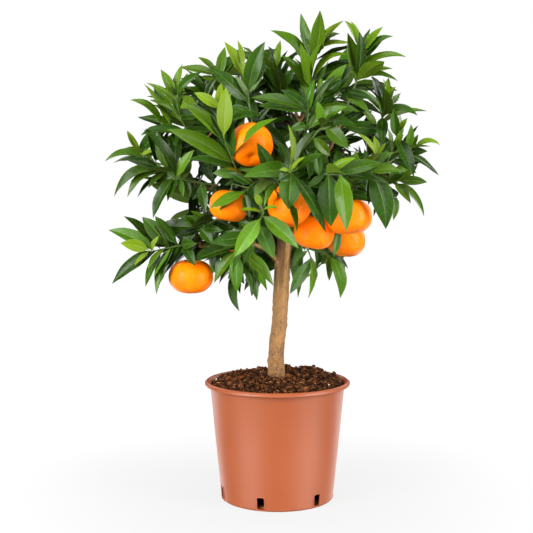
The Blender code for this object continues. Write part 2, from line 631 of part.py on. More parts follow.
class TreeBuilder:
    """Builds the whole tree."""

    def __init__(self, parts, work):
        self.parts = parts
        self.work = work
        self.random = random.Random(SEED)
        self.template = make_blade_template()
        self.plan = BladePlan(self.template)
        self.ground = Ground()
        self.limb_paths = []
        self.stem_paths = {}
        self.roots = {}
        self.fruit_shapes = []
        self.pieces = {}

    # Wood and stems.

    def tube(self, node, path, radii, sides):
        """Add a tube to a node and to the ground."""
        name = node + "_tube_" + str(len(self.pieces.setdefault(node, [])))
        holder = tube_object(name, path, radii, sides, self.work)
        self.pieces[node].append(holder)
        self.ground.add_object(node, holder)
        return holder

    def build_limbs(self):
        """Lay the trunk and its main limbs."""
        trunk = [Vector(point) for point in TRUNK_LINE]
        self.tube("trunk", trunk, TRUNK_RADII, 10)
        for _, points, start, end in LIMBS:
            path = smooth_path(points, 5)
            radii = [start + (end - start) * index / 4.0 for index in range(5)]
            self.tube("trunk", path, radii, 6)
            self.limb_paths.append(smooth_path(points, 25))

    def misses_mandarins(self, path, margin):
        """Tell if a path stays clear of every mandarin."""
        for centre, pole, half_width, half_height in self.fruit_shapes:
            for first, second in zip(path, path[1:]):
                for step in range(9):
                    gap = first.lerp(second, step / 8.0) - centre
                    rise = gap.dot(pole)
                    reach = (gap - pole * rise).length
                    if (rise / (half_height + margin)) ** 2 + (reach / (half_width + margin)) ** 2 < 1.0:
                        return False
        return True

    def build_twig(self, target, direction):
        """Grow a twig from a near limb to the start of a spray, past the mandarins."""
        starts = []
        for path in self.limb_paths:
            for index in range(5, len(path)):
                gap = target - path[index]
                if gap.length < 6.0:
                    continue
                turn = 1.0 - gap.normalized().dot(direction)
                flow = (path[index] - path[index - 1]).normalized()
                starts.append((gap.length * (1.0 + 0.7 * turn), path[index], flow, gap.length))
        starts.sort(key=lambda row: row[0])
        end = target - direction * FIT_GAP
        for _, start, flow, span in starts:
            before = end - direction * min(9.0, 0.3 * span)
            middle = (start + flow * (0.3 * span)).lerp(before - direction * (0.25 * span), 0.5)
            path = [start, middle, before, end]
            if span < 30.0:
                path.pop(1)
            if self.misses_mandarins(path, 3.5):
                break
        else:
            print("a twig crosses a mandarin", tuple(target))
        radii = [2.8, 2.3, TWIG_RADIUS, TWIG_RADIUS]
        self.tube("trunk", path, radii[-len(path):], 4)

    def lay_stems(self, spray, base_radius, tip_radius, limbed):
        """Lay the stems of a spray; the first one starts on a twig or on its mother's end."""
        paths = []
        for index, stem in enumerate(spray.stems):
            points = [seen(x, z, y) for x, z, y in stem]
            path = smooth_path(points, 3)
            if index == 0 and limbed:
                self.build_twig(path[0], (path[1] - path[0]).normalized())
            elif index == 0:
                before, end = self.stem_paths[spray.mother[0]][spray.mother[1]][-2:]
                flow = (end - before).normalized()
                start = end + flow * FIT_GAP
                path = [start, start + flow * 4.0, points[-1]]
            else:
                spot = min(
                    (point_on(paths[0], step / 20.0)[0] for step in range(1, 20)),
                    key=lambda place: (place - path[0]).length,
                )
                path[0] = spot
            last = len(path) - 1
            radii = [base_radius + (tip_radius - base_radius) * step / last for step in range(last + 1)]
            self.tube(spray.name, path, radii, 4)
            paths.append(path)
        self.stem_paths[spray.name] = paths

    # Fruit.

    def place_mandarins(self, sprays):
        """Settle where every mandarin hangs."""
        for _, x, z, y, half_width, half_height, axis, spray_name, place in MANDARINS:
            if y is None:
                spray = [each for each in sprays if each.name == spray_name][0]
                path = smooth_path([seen(*row) for row in spray.stems[0]], 4)
                centre = point_on(path, place)[0] - Vector((0, 0, HANG_DROP))
                scale = 1.0
            else:
                centre = seen(x, z, y)
                scale = (y - EYE.y) / -EYE.y
            pole = Vector(axis).normalized()
            self.fruit_shapes.append((centre, pole, half_width * scale, half_height * scale))

    def build_mandarins(self, settings):
        """Make the mandarins."""
        made = []
        for row, shape in zip(MANDARINS, self.fruit_shapes):
            name = row[0]
            centre, pole, half_width, half_height = shape
            mesh = bpy.data.meshes.new(name)
            work = bmesh.new()
            bmesh.ops.create_uvsphere(work, u_segments=12, v_segments=7, radius=1.0)
            for vert in work.verts:
                high = vert.co.z
                radial = math.hypot(vert.co.x, vert.co.y)
                if radial < 0.01:
                    high = math.copysign(0.86, high)
                vert.co = Vector((vert.co.x * half_width, vert.co.y * half_width, high * half_height)) * MM
            turn = Vector((0, 0, 1)).rotation_difference(pole).to_matrix().to_4x4()
            work.transform(Matrix.Translation(centre * MM) @ turn)
            work.to_mesh(mesh)
            work.free()
            for face in mesh.polygons:
                face.use_smooth = True
            holder = mesh_object(name, mesh, self.parts)
            dress(holder, settings)
            self.ground.add_object(name, holder)
            made.append((name, centre, pole, half_height))
        return made

    def build_stalk(self, mandarin, spray_name, place):
        """Lay a stalk from a spray's stem to the stalk end of a mandarin, ending in its calyx."""
        _, centre, pole, half_height = mandarin
        start, _ = point_on(self.stem_paths[spray_name][0], place)
        top = centre + pole * (0.86 * half_height)
        seat = FIT_GAP + 0.1
        lift = max(8.0, 0.3 * (top - start).length)
        above = top + pole * lift
        path = [start, above, top + pole * (seat + 3.0), top + pole * (seat + 1.2), top + pole * seat]
        radii = [STALK_RADIUS, STALK_RADIUS, STALK_RADIUS + 0.2, CALYX_RADIUS - 0.5, CALYX_RADIUS]
        self.tube(spray_name, path, radii, 6)

    # Leaves.

    def try_leaf(self, node, leaf):
        """Place a leaf if nothing is in its way."""
        fat = leaf.corners(self.plan, CLEARANCE)
        fat_trimmed = leaf.corners(self.plan, CLEARANCE, True)
        if not self.ground.is_clear(node, fat, fat_trimmed, self.plan.faces):
            return False
        places = leaf.corners(self.plan)
        trimmed = leaf.corners(self.plan, 0.0, True)
        self.ground.add(node, places, self.plan.faces, trimmed)
        work = self.template.copy()
        work.verts.ensure_lookup_table()
        sink = (leaf.tip - leaf.root).normalized() * ROOT_SINK
        for index, corner in enumerate(self.plan.corners):
            if corner[0] is None and corner[3] < 0.0:
                places[index] = places[index] - sink
        for vert, place in zip(work.verts, places):
            vert.co = place * MM
        mesh = bpy.data.meshes.new(node + "_leaf")
        work.to_mesh(mesh)
        work.free()
        self.pieces[node].append(mesh_object(node + "_leaf", mesh, self.work))
        return True

    def free_place(self, node, stem, place):
        """Give the place nearest to the wished one at which no other root stands on the stem."""
        path = self.stem_paths[node][stem]
        length = sum((b - a).length for a, b in zip(path, path[1:]))
        used = self.roots.setdefault((node, stem), [])
        step = 0.5 * ROOT_SPACING / length
        for count in range(60):
            for sign in (-1, 1):
                spot = place + sign * count * step
                if spot > 0.97 or spot < 0.08:
                    continue
                if all(abs(spot - other) * length >= ROOT_SPACING for other in used):
                    return spot
        return min(place, 0.97)

    def picked_leaf(self, spray, row):
        """Place one leaf picked from the front view, moved in depth or turned till it is clear."""
        stem, place, x, z, seen_width, step = row
        path = self.stem_paths[spray.name][stem]
        for slide in (0.0, -0.08, 0.06, -0.16):
            spot = self.free_place(spray.name, stem, min(0.97, place + slide))
            root, _ = point_on(path, spot)
            for shift in (0, -5, 5, -10, 10, -16, 16, -23, 23, -30, 30):
                tip = seen(x, z, root.y + step + shift)
                width, facing = facing_seen(root, tip, seen_width)
                along = (tip - root).normalized()
                for turn in (0, 18, -18, 36, -36):
                    looks = Matrix.Rotation(math.radians(turn), 3, along) @ facing
                    if self.try_leaf(spray.name, Leaf(root, tip, looks, width)):
                        self.roots[(spray.name, stem)].append(spot)
                        return
        print("no clear place for a leaf of", spray.name, "with its tip at", x, z)

    def rule_leaf(self, node, stem, place, turn, lean, length, width, droop):
        """Place one leaf by the spiral rule, turned a little till it is clear."""
        path = self.stem_paths[node][stem]
        for attempt in range(26):
            spot = self.free_place(node, stem, min(0.97, place + self.random.uniform(-0.04, 0.04)))
            root, along = point_on(path, spot)
            across = along.orthogonal().normalized()
            spin = turn + math.radians(self.random.uniform(-12, 12) + (attempt // 2) * 23.0 * (-1) ** attempt)
            outer = Matrix.Rotation(spin, 3, along) @ across
            tilt = lean + math.radians(self.random.uniform(-14, 14))
            direction = along * math.cos(tilt) + outer * math.sin(tilt)
            direction = (direction + Vector((0, 0, -droop)) + outward_at(root) * 0.35).normalized()
            size = length * (1.0 - 0.012 * attempt) * self.random.uniform(0.9, 1.08)
            tip = root + direction * size
            spots = [to_front_view(root.lerp(tip, share)) for share in (0.5, 0.8, 1.0)]
            if not all(inside_outline(x, z) for x, z in spots):
                continue
            upward = Vector((0, 0, 0.9)) + outward_at(root) * 0.6 + along * 0.4
            facing = upward - direction * upward.dot(direction)
            if facing.length < 0.15:
                facing = direction.orthogonal()
            facing.normalize()
            facing = Matrix.Rotation(math.radians(self.random.uniform(-28, 28)), 3, direction) @ facing
            if self.try_leaf(node, Leaf(root, tip, facing, width, self.random.uniform(0.07, 0.14))):
                self.roots[(node, stem)].append(spot)
                return

    def fill_spray(self, name, count, start, longest):
        """Add leaves to a spray by the spiral rule."""
        paths = self.stem_paths[name]
        turn = self.random.uniform(0.0, 2.0 * math.pi)
        for index in range(count):
            stem = index % len(paths)
            place = start + (1.0 - start) * (index + 0.5) / count
            turn += math.radians(137.5)
            length = longest * self.random.uniform(0.74, 1.0)
            lean = math.radians(74.0 - 40.0 * place)
            self.rule_leaf(name, stem, place, turn, lean, length, length * 0.35, 0.12)

    # Joining.

    def join_node(self, node, settings, smooth):
        """Fuse the pieces of a node into one body with a single union, with a leaf fewer if it stays open."""
        holders = self.pieces[node]
        base = holders[0]
        rest = holders[1:]
        base.name = node
        base.data.name = node
        for holder in rest:
            self.work.objects.unlink(holder)
        group = collection_named(node + "_fused", bpy.context.scene.collection)
        for holder in rest:
            group.objects.link(holder)
        self.work.objects.unlink(base)
        self.parts.objects.link(base)
        single = base.data.copy()
        tries = [("EXACT", 0.0, None), ("EXACT", 0.012, None), ("MANIFOLD", 0.0, None)]
        tries += [("EXACT", 0.0, holder) for holder in reversed(rest)]
        for solver, nudge, spare in tries:
            if spare is not None:
                group.objects.unlink(spare)
            base.data.transform(Matrix.Translation(Vector((0.8, -0.5, 0.6)) * (nudge * MM)))
            union = base.modifiers.new("fuse", "BOOLEAN")
            union.operation = "UNION"
            union.operand_type = "COLLECTION"
            union.collection = group
            union.solver = solver
            apply_modifiers(base)
            if keep_one_body(base):
                break
            base.data = single.copy()
            if spare is not None:
                group.objects.link(spare)
        if solver != "EXACT" or spare is not None:
            print(node, "joined by", solver, "with a leaf left out:", spare is not None)
        for holder in rest:
            bpy.data.objects.remove(holder)
        bpy.data.collections.remove(group)
        for face in base.data.polygons:
            face.use_smooth = smooth
        dress(base, settings)
        return base


def apply_modifiers(holder):
    """Apply an object's modifiers."""
    bpy.context.view_layer.update()
    bpy.context.view_layer.objects.active = holder
    for modifier in list(holder.modifiers):
        with bpy.context.temp_override(object=holder, active_object=holder, selected_objects=[holder]):
            bpy.ops.object.modifier_apply(modifier=modifier.name)


def keep_one_body(holder):
    """Weld a mesh, keep its largest connected shell, and tell if that is closed.

    What goes are sealed hollows and loose scraps.
    """
    work = bmesh.new()
    work.from_mesh(holder.data)
    bmesh.ops.remove_doubles(work, verts=work.verts, dist=2e-6)
    work.faces.ensure_lookup_table()
    unseen = set(work.faces)
    shells = []
    while unseen:
        seed = unseen.pop()
        shell = [seed]
        stack = [seed]
        while stack:
            face = stack.pop()
            for edge in face.edges:
                for other in edge.link_faces:
                    if other in unseen:
                        unseen.remove(other)
                        shell.append(other)
                        stack.append(other)
        shells.append(shell)
    shells.sort(key=len, reverse=True)
    scraps = [face for shell in shells[1:] for face in shell]
    if scraps:
        bmesh.ops.delete(work, geom=scraps, context="FACES")
    closed = all(edge.is_manifold for edge in work.edges)
    work.to_mesh(holder.data)
    work.free()
    return closed


def make_material(name, colour, roughness, metallic=0.0):
    """Make a plain surface."""
    made = bpy.data.materials.new(name)
    made.use_nodes = True
    shader = made.node_tree.nodes["Principled BSDF"]
    shader.inputs["Base Color"].default_value = (*colour, 1.0)
    shader.inputs["Roughness"].default_value = roughness
    shader.inputs["Metallic"].default_value = metallic
    made.diffuse_color = (*colour, 1.0)
    return made


def dress(holder, settings):
    """Give an object a surface of its own."""
    colour, roughness = settings
    holder.data.materials.clear()
    holder.data.materials.append(make_material(holder.name + "_surface", colour, roughness))


def turned_object(name, profile, collection):
    """Turn a profile of (radius, height) points round the upright axis."""
    work = bmesh.new()
    verts = [work.verts.new((radius * MM, 0.0, height * MM)) for radius, height in profile]
    for first, second in zip(verts, verts[1:]):
        work.edges.new((first, second))
    mesh = bpy.data.meshes.new(name)
    work.to_mesh(mesh)
    work.free()
    holder = mesh_object(name, mesh, collection)
    turn = holder.modifiers.new("turn", "SCREW")
    turn.axis = "Z"
    turn.angle = 2.0 * math.pi
    turn.steps = POT_SIDES
    turn.render_steps = POT_SIDES
    turn.use_merge_vertices = True
    turn.merge_threshold = 0.0001
    turn.use_smooth_shade = True
    apply_modifiers(holder)
    work = bmesh.new()
    work.from_mesh(holder.data)
    bmesh.ops.remove_doubles(work, verts=work.verts, dist=1e-5)
    work.to_mesh(holder.data)
    work.free()
    return holder


def inner_radius(height):
    """Give the radius of the pot's inner wall at a height."""
    top = POT_HEIGHT - POT_LIP_HEIGHT
    outer = POT_FOOT_RADIUS + (POT_NECK_RADIUS - POT_FOOT_RADIUS) * height / top
    return outer - POT_WALL


def build_pot(parts, cutters):
    """Make the pot with its rolled lip and drainage slots."""
    neck = POT_HEIGHT - POT_LIP_HEIGHT
    rim = POT_RIM_RADIUS
    profile = (
        (0.0, POT_FLOOR),
        (inner_radius(POT_FLOOR), POT_FLOOR),
        (inner_radius(neck), neck),
        (POT_NECK_RADIUS + 1.6, POT_HEIGHT - 2.0),
        (rim - 4.4, POT_HEIGHT),
        (rim - 1.6, POT_HEIGHT - 0.9),
        (rim, POT_HEIGHT - 3.0),
        (rim, POT_HEIGHT - 6.4),
        (rim - 1.2, POT_HEIGHT - 8.2),
        (POT_NECK_RADIUS, POT_HEIGHT - 10.4),
        (POT_FOOT_RADIUS + 0.4, 2.0),
        (POT_FOOT_RADIUS - 1.0, 0.0),
        (0.0, 0.0),
    )
    pot = turned_object("pot", profile, parts)
    for index in range(SLOT_COUNT):
        angle = math.radians(SLOT_FIRST_ANGLE + 60.0 * index - 90.0)
        work = bmesh.new()
        bmesh.ops.create_cube(work, size=1.0)
        size = Matrix.Diagonal((14.0 * MM, SLOT_WIDTH * MM, SLOT_HEIGHT * MM, 1.0))
        middle = (SLOT_BOTTOM + SLOT_HEIGHT * 0.5) * MM
        place = Matrix.Rotation(angle, 4, "Z") @ Matrix.Translation((POT_FOOT_RADIUS * MM, 0.0, middle))
        work.transform(place @ size)
        mesh = bpy.data.meshes.new("drainage_cutter")
        work.to_mesh(mesh)
        work.free()
        cutter = mesh_object("drainage_cutter_" + str(index + 1), mesh, cutters)
        cutter.hide_render = True
        cutter.display_type = "WIRE"
    cut = pot.modifiers.new("drainage", "BOOLEAN")
    cut.operation = "DIFFERENCE"
    cut.operand_type = "COLLECTION"
    cut.collection = cutters
    cut.solver = "EXACT"
    apply_modifiers(pot)
    keep_one_body(pot)
    for face in pot.data.polygons:
        face.use_smooth = True
    dress(pot, ((0.42, 0.085, 0.03), 0.42))
    return pot


def build_soil(parts):
    """Make the mound of soil with its plain hole for the trunk."""
    chance = random.Random(SEED + 1)
    play = FIT_GAP + 0.06
    floor = POT_FLOOR + FIT_GAP
    profile = (
        (0.0, TRUNK_FOOT - FIT_GAP),
        (TRUNK_HOLE_RADIUS, TRUNK_FOOT - FIT_GAP),
        (TRUNK_HOLE_RADIUS, SOIL_CROWN_HEIGHT),
        (34.0, SOIL_CROWN_HEIGHT),
        (56.0, SOIL_CROWN_HEIGHT - 2.6),
        (78.0, SOIL_EDGE_HEIGHT + 2.0),
        (inner_radius(SOIL_EDGE_HEIGHT) - play, SOIL_EDGE_HEIGHT - 2.0),
        (inner_radius(floor) - play, floor),
        (0.0, floor),
    )
    soil = turned_object("soil", profile, parts)
    for vert in soil.data.vertices:
        radius = math.hypot(vert.co.x, vert.co.y) / MM
        if vert.co.z > 0.140 and 20.0 < radius < 82.0:
            vert.co.z += chance.uniform(-SOIL_BUMP, SOIL_BUMP) * MM
    dress(soil, ((0.035, 0.018, 0.009), 0.95))
    return soil


def back_spray(index, azimuth, height, count, chance):
    """Lay out one spray at the back or side by rule."""
    angle = math.radians(azimuth + chance.uniform(-4, 4))
    level = (height - CROWN_CENTRE_HEIGHT) / BACK_HALF_HEIGHT
    ring = math.sqrt(max(0.12, 1.0 - level * level))
    side = BACK_SIDE_RADIUS * ring
    deep = BACK_DEPTH_RADIUS * ring
    tip = Vector((side * math.cos(angle) * 0.8, deep * math.sin(angle) * 0.8, height + 8.0))
    start = Vector((side * math.cos(angle) * 0.42, deep * math.sin(angle) * 0.42, height - 26.0 + 14.0 * level))
    middle = start.lerp(tip, 0.5) + Vector((0, 0, -3.0))
    stem = []
    for point in (start, middle, tip):
        x, z = to_front_view(point)
        stem.append((x, z, point.y))
    return Spray("spray_back_" + str(index + 1), (tuple(stem),), (), count)


def main():
    """Build every part."""
    for holder in list(bpy.data.objects):
        bpy.data.objects.remove(holder)
    root = bpy.context.scene.collection
    parts = collection_named(OBJECT_NAME, root)
    cutters = collection_named("cutters", root)
    work = collection_named("work", root)
    build_pot(parts, cutters)
    build_soil(parts)
    builder = TreeBuilder(parts, work)
    builder.build_limbs()
    backs = [
        back_spray(index, azimuth, height, count, builder.random)
        for index, (azimuth, height, count) in enumerate(BACK_SPRAYS)
    ]
    sprays = list(SPRAYS) + backs
    builder.place_mandarins(sprays)
    mandarins = builder.build_mandarins(((0.9, 0.24, 0.008), 0.38))
    for spray in sprays:
        builder.lay_stems(spray, STEM_BASE_RADIUS, STEM_TIP_RADIUS, True)
    for spray in YOUNG:
        builder.lay_stems(spray, YOUNG_BASE_RADIUS, YOUNG_TIP_RADIUS, False)
    for mandarin, row in zip(mandarins, MANDARINS):
        builder.build_stalk(mandarin, row[7], row[8])
    for spray in list(YOUNG) + sprays:
        for row in spray.leaves:
            builder.picked_leaf(spray, row)
    for spray in sprays:
        longest = 74.0 if spray.leaves else 92.0
        builder.fill_spray(spray.name, spray.fill, 0.1, longest)
    wood = ((0.30, 0.16, 0.07), 0.8)
    mature = ((0.035, 0.12, 0.012), 0.32)
    fresh = ((0.30, 0.48, 0.02), 0.38)
    builder.join_node("trunk", wood, True)
    for spray in sprays:
        builder.join_node(spray.name, mature, False)
    for spray in YOUNG:
        builder.join_node(spray.name, fresh, False)
    bpy.data.collections.remove(work)


main()
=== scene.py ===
"""Potted mandarin tree: the fine leaves, wood, fruit, soil and pot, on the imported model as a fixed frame.

Lengths are in metres unless a name ends in _mm. The front of the tree looks along -Y, and +Z is up.
"""
from __future__ import annotations

import logging
import math
import random
from dataclasses import dataclass, field
from enum import Enum

import bmesh
import bpy
import numpy as np
from mathutils import Euler, Matrix, Vector, noise
from mathutils.bvhtree import BVHTree


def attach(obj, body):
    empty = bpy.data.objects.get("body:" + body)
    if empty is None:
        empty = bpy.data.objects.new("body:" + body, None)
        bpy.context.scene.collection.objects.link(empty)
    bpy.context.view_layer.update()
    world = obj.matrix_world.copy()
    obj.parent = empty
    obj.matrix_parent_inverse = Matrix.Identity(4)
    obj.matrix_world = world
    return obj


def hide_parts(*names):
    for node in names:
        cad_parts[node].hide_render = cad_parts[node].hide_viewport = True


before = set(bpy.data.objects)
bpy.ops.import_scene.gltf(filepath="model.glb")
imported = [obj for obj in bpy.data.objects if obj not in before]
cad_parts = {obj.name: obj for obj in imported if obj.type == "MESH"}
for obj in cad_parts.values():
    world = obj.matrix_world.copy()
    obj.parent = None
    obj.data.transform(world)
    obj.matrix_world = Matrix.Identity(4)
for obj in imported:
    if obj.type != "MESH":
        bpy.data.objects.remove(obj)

MM = 0.001
SEED = 4711
ROOT_BODY = "root"
LOG = logging.getLogger("mandarin_tree")

# Leaves whose upper face is turned further than in the solids: x and z of the tip as seen from the front,
# and the width that shows there.
TURNED_TIPS_MM = (
    (0, 522, 9), (27, 366, 11), (-171, 540, 9), (-195, 524, 8), (30, 622, 15), (-235, 463, 11),
    (125, 642, 8), (-181, 568, 9), (-14, 591, 11), (28, 276, 10), (-54, 626, 9), (142, 575, 8),
    (191, 512, 8), (-106, 416, 12), (90, 652, 9), (-176, 427, 9), (-205, 414, 12), (26, 582, 10),
    (31, 662, 15), (-119, 585, 7), (-231, 370, 21), (-210, 480, 10), (155, 444, 16), (166, 526, 11),
    (58, 666, 21), (-52, 259, 14), (-28, 275, 17),
)

# Leaves that arch sideways: x and z of the tip as seen from the front, and how far the middle moves.
BOWED_TIPS_MM = (
    (-235, 463, 0, 6), (-224, 414, -4, 7), (-205, 414, -2, 5), (-203, 505, -3, 0), (-200, 546, 1, 5),
    (-195, 524, 1, 5), (-171, 566, 0, 2), (174, 603, 0, 6), (163, 571, 0, 4), (190, 525, 0, 8),
    (203, 531, 0, 3), (221, 485, 1, 5), (198, 391, 4, 2), (-168, 391, -4, 1), (-52, 259, -5, -2),
    (84, 276, 5, 1), (31, 662, -6, 0), (57, 666, 4, 0), (-10, 639, 3, 4), (156, 631, 0, 4),
    (-17, 624, -3, 3), (96, 607, -2, 9), (85, 634, 0, 4), (-108, 603, -1, 2), (-60, 582, -3, 4),
    (125, 577, 0, 3), (203, 412, 2, 4), (169, 558, 0, 3), (28, 276, 0, 2), (147, 373, 5, 1),
)

# Thin places in the crown that leaves behind close: x and z as seen from the front.
GAP_SPOTS_MM = (
    (-138, 492), (-139, 475), (-119, 480), (-173, 488), (-151, 500), (-117, 570), (-90, 557), (-70, 570),
    (-56, 545), (-34, 533), (-41, 520), (-26, 562), (22, 566), (-64, 594), (-41, 598), (107, 525),
    (124, 508), (142, 506), (-87, 371), (-129, 365), (-107, 341), (-129, 330), (-78, 330), (-20, 296),
    (-10, 316), (36, 296), (19, 308), (-19, 334), (176, 464), (-60, 315), (-40, 318), (52, 318),
    (70, 310), (-100, 520), (-128, 520), (-49, 334), (-67, 356), (-110, 505), (-163, 478), (-98, 470),
    (-28, 303), (-24, 318), (30, 318),
)

# Places where leaves stand in front of the fruits at the back: x and z as seen from the front.
COVER_SPOTS_MM = (
    (-58, 362), (-48, 352), (-40, 342), (-56, 340), (-34, 355), (-48, 366), (38, 457), (50, 452),
    (66, 450), (60, 438), (38, 442), (76, 445), (47, 462),
)
COVER_DEEPEST_MM = 30.0

# Further leaves that the front of the crown shows: x and z of the root and of the tip, how far the tip
# comes forward from the root, and the width that shows.
SHOWN_LEAVES_MM = (
    (26, 396, 66, 366, 10, 15), (-70, 377, -30, 384, 12, 13), (48, 420, 67, 392, 6, 12),
    (-98, 452, -116, 411, 0, 15), (-28, 419, -20, 388, 14, 20), (-80, 346, -86, 311, 4, 15),
    (-41, 322, -51, 282, 0, 10), (8, 480, 0, 437, 16, 15), (-52, 415, -38, 386, 8, 12),
    (92, 428, 112, 381, 8, 16), (62, 440, 40, 425, 14, 9), (20, 445, 34, 489, 10, 14),
    (-132, 348, -166, 308, 0, 13), (-128, 352, -160, 340, 0, 13), (-105, 352, -138, 345, -6, 12),
    (-148, 338, -166, 285, -4, 13), (-12, 560, -30, 590, 4, 12), (-96, 545, -112, 575, 4, 12),
    (60, 560, 88, 574, 8, 13), (100, 560, 128, 548, 6, 12), (-60, 520, -92, 528, 6, 13),
    (24, 540, 4, 560, 8, 13),
)

EYE_MM = Vector((-15.0, -1492.0, 440.0))
CROWN_HEART_MM = Vector((-5.0, 0.0, 455.0))

# Above this height the wood is thin twigs that carry leaves.
TWIGS_FROM = 0.318

# How near to a listed tip a leaf's tip has to be for the entry to apply: width, arch and freshness.
TURN_MATCH_MM = 2.5
BOW_MATCH_MM = 4.0
FRESH_MATCH_MM = 5.0

# Openings in the crown through which the background is seen from the front: x, z and radius.
CROWN_WINDOWS_MM = (
    (-140, 401, 12), (-87, 434, 12), (-158, 404, 10), (-90, 382, 7), (-124, 414, 10), (-111, 424, 8),
    (-90, 421, 7), (-135, 389, 7), (12, 589, 8), (131, 396, 9), (-106, 456, 7), (119, 480, 8),
    (57, 592, 6), (-100, 577, 5),
)

# Leaves of the last flush that have not darkened yet: x and z of the tip in the front view, and how fresh.
FRESH_TIPS_MM = (
    (-195, 524, 0.85), (-200, 546, 0.4), (-178, 569, 0.7), (-181, 568, 0.8), (-146, 569, 0.7),
    (-158, 587, 0.45), (-128, 594, 0.45), (-121, 583, 0.55), (-108, 603, 0.5), (-104, 578, 0.5),
    (-134, 589, 0.4), (-171, 540, 0.6), (96, 607, 0.8), (4, 626, 0.6), (203, 531, 0.7), (221, 485, 0.7),
    (142, 644, 0.7), (134, 606, 0.6), (148, 572, 0.6), (171, 500, 0.7), (90, 652, 0.6), (99, 651, 0.7),
    (106, 468, 0.8), (155, 519, 0.6), (-129, 542, 0.45), (30, 622, 0.45), (51, 437, 0.7), (96, 398, 0.35),
    (16.5, 513, 0.0),
)


class BladeSide(Enum):
    """Which face of a leaf a surface belongs to."""

    UPPER = 0.0
    UNDER = 1.0


class Change(Enum):
    """What a block does to the pot's wall."""

    ADD = "UNION"
    CUT = "DIFFERENCE"


class Solver(Enum):
    """How one mesh is cut by another."""

    EXACT = "EXACT"


def to_linear(code: str) -> tuple[float, float, float, float]:
    """Turn an sRGB hex colour into linear values.

    Args:
        code: Six hex digits after a hash sign.

    Returns:
        Red, green, blue and an alpha of one.
    """
    channels = []
    for start in (1, 3, 5):
        value = int(code[start:start + 2], 16) / 255.0
        channels.append(value / 12.92 if value <= 0.04045 else ((value + 0.055) / 1.055) ** 2.4)
    return channels[0], channels[1], channels[2], 1.0


def add_node(
    tree: bpy.types.NodeTree, kind: str, settings: dict[str, object] | None = None,
    inputs: dict[str | int, object] | None = None,
) -> bpy.types.Node:
    """Add a shader node with its settings, and set or link its inputs.

    Args:
        tree: The material's node tree.
        kind: The node's type name.
        settings: Attributes to set on the node.
        inputs: Values or output sockets, by the input's name or number.

    Returns:
        The new node.
    """
    node = tree.nodes.new(kind)
    for name, value in (settings or {}).items():
        setattr(node, name, value)
    for key, value in (inputs or {}).items():
        if isinstance(value, bpy.types.NodeSocket):
            tree.links.new(value, node.inputs[key])
        else:
            node.inputs[key].default_value = value
    return node


def blend_colours(
    tree: bpy.types.NodeTree, share: object, first: object, second: object,
) -> bpy.types.NodeSocket:
    """Mix two colours by a share.

    Args:
        tree: The material's node tree.
        share: A value or socket from 0 to 1.
        first: The colour, or its socket, at 0.
        second: The colour, or its socket, at 1.

    Returns:
        The mixed colour's socket.
    """
    node = add_node(tree, "ShaderNodeMix", {"data_type": "RGBA"}, {0: share, 6: first, 7: second})
    return node.outputs[2]


def ramp_between(
    tree: bpy.types.NodeTree, value: object, low: float, high: float,
    at_low: float = 0.0, at_high: float = 1.0,
) -> bpy.types.NodeSocket:
    """Map a value smoothly from one range to another, held at both ends.

    Args:
        tree: The material's node tree.
        value: The socket to read.
        low: Where the change starts.
        high: Where the change ends.
        at_low: What it gives at low and below.
        at_high: What it gives at high and above.

    Returns:
        The mapped value's socket.
    """
    node = add_node(tree, "ShaderNodeMapRange", {"interpolation_type": "SMOOTHSTEP"}, {
        0: value, 1: low, 2: high, 3: at_low, 4: at_high,
    })
    return node.outputs[0]


def calculate(
    tree: bpy.types.NodeTree, operation: str, first: object, second: object = 0.0,
) -> bpy.types.NodeSocket:
    """Do a sum on two values.

    Args:
        tree: The material's node tree.
        operation: The sum's name.
        first: The first value or socket.
        second: The second value or socket.

    Returns:
        The result's socket.
    """
    node = add_node(tree, "ShaderNodeMath", {"operation": operation}, {0: first, 1: second})
    return node.outputs[0]


def tint(
    tree: bpy.types.NodeTree, colour: object, code: str, share: object, strength: float = 1.0,
) -> bpy.types.NodeSocket:
    """Blend a colour towards a hex colour.

    Args:
        tree: The material's node tree.
        colour: The colour, or its socket, at 0.
        code: The hex colour at 1.
        share: A value or socket from 0 to 1.
        strength: How much of the share counts.

    Returns:
        The mixed colour's socket.
    """
    if strength < 1.0:
        share = calculate(tree, "MULTIPLY", share, strength)
    return blend_colours(tree, share, colour, to_linear(code))


def add_clouds(
    tree: bpy.types.NodeTree, place: bpy.types.NodeSocket, size_mm: float, detail: float,
    roughness: float = 0.5,
) -> bpy.types.NodeSocket:
    """Add a cloudy noise pattern.

    Args:
        tree: The material's node tree.
        place: The socket of the place.
        size_mm: The size of one cloud.
        detail: How many finer layers it has.
        roughness: How strong the finer layers are.

    Returns:
        The pattern's value socket.
    """
    node = add_node(tree, "ShaderNodeTexNoise", None, {
        "Vector": place, "Scale": 1.0 / (size_mm * MM), "Detail": detail, "Roughness": roughness,
    })
    return node.outputs[0]


def add_relief(
    tree: bpy.types.NodeTree, shader: bpy.types.Node, height: object, strength: float, depth_mm: float,
) -> None:
    """Give a shader a fine relief.

    Args:
        tree: The material's node tree.
        shader: The material's shader.
        height: The socket of the relief.
        strength: How strongly it shows.
        depth_mm: How deep it is.
    """
    bump = add_node(tree, "ShaderNodeBump", None, {
        "Height": height, "Strength": strength, "Distance": depth_mm * MM,
    })
    tree.links.new(bump.outputs[0], shader.inputs["Normal"])


def object_place(tree: bpy.types.NodeTree) -> bpy.types.NodeSocket:
    """Give the socket of the place on the object, in metres."""
    return add_node(tree, "ShaderNodeTexCoord").outputs["Object"]


def place_height(tree: bpy.types.NodeTree, place: bpy.types.NodeSocket) -> bpy.types.NodeSocket:
    """Give the socket of a place's height, in metres."""
    return add_node(tree, "ShaderNodeSeparateXYZ", None, {0: place}).outputs[2]


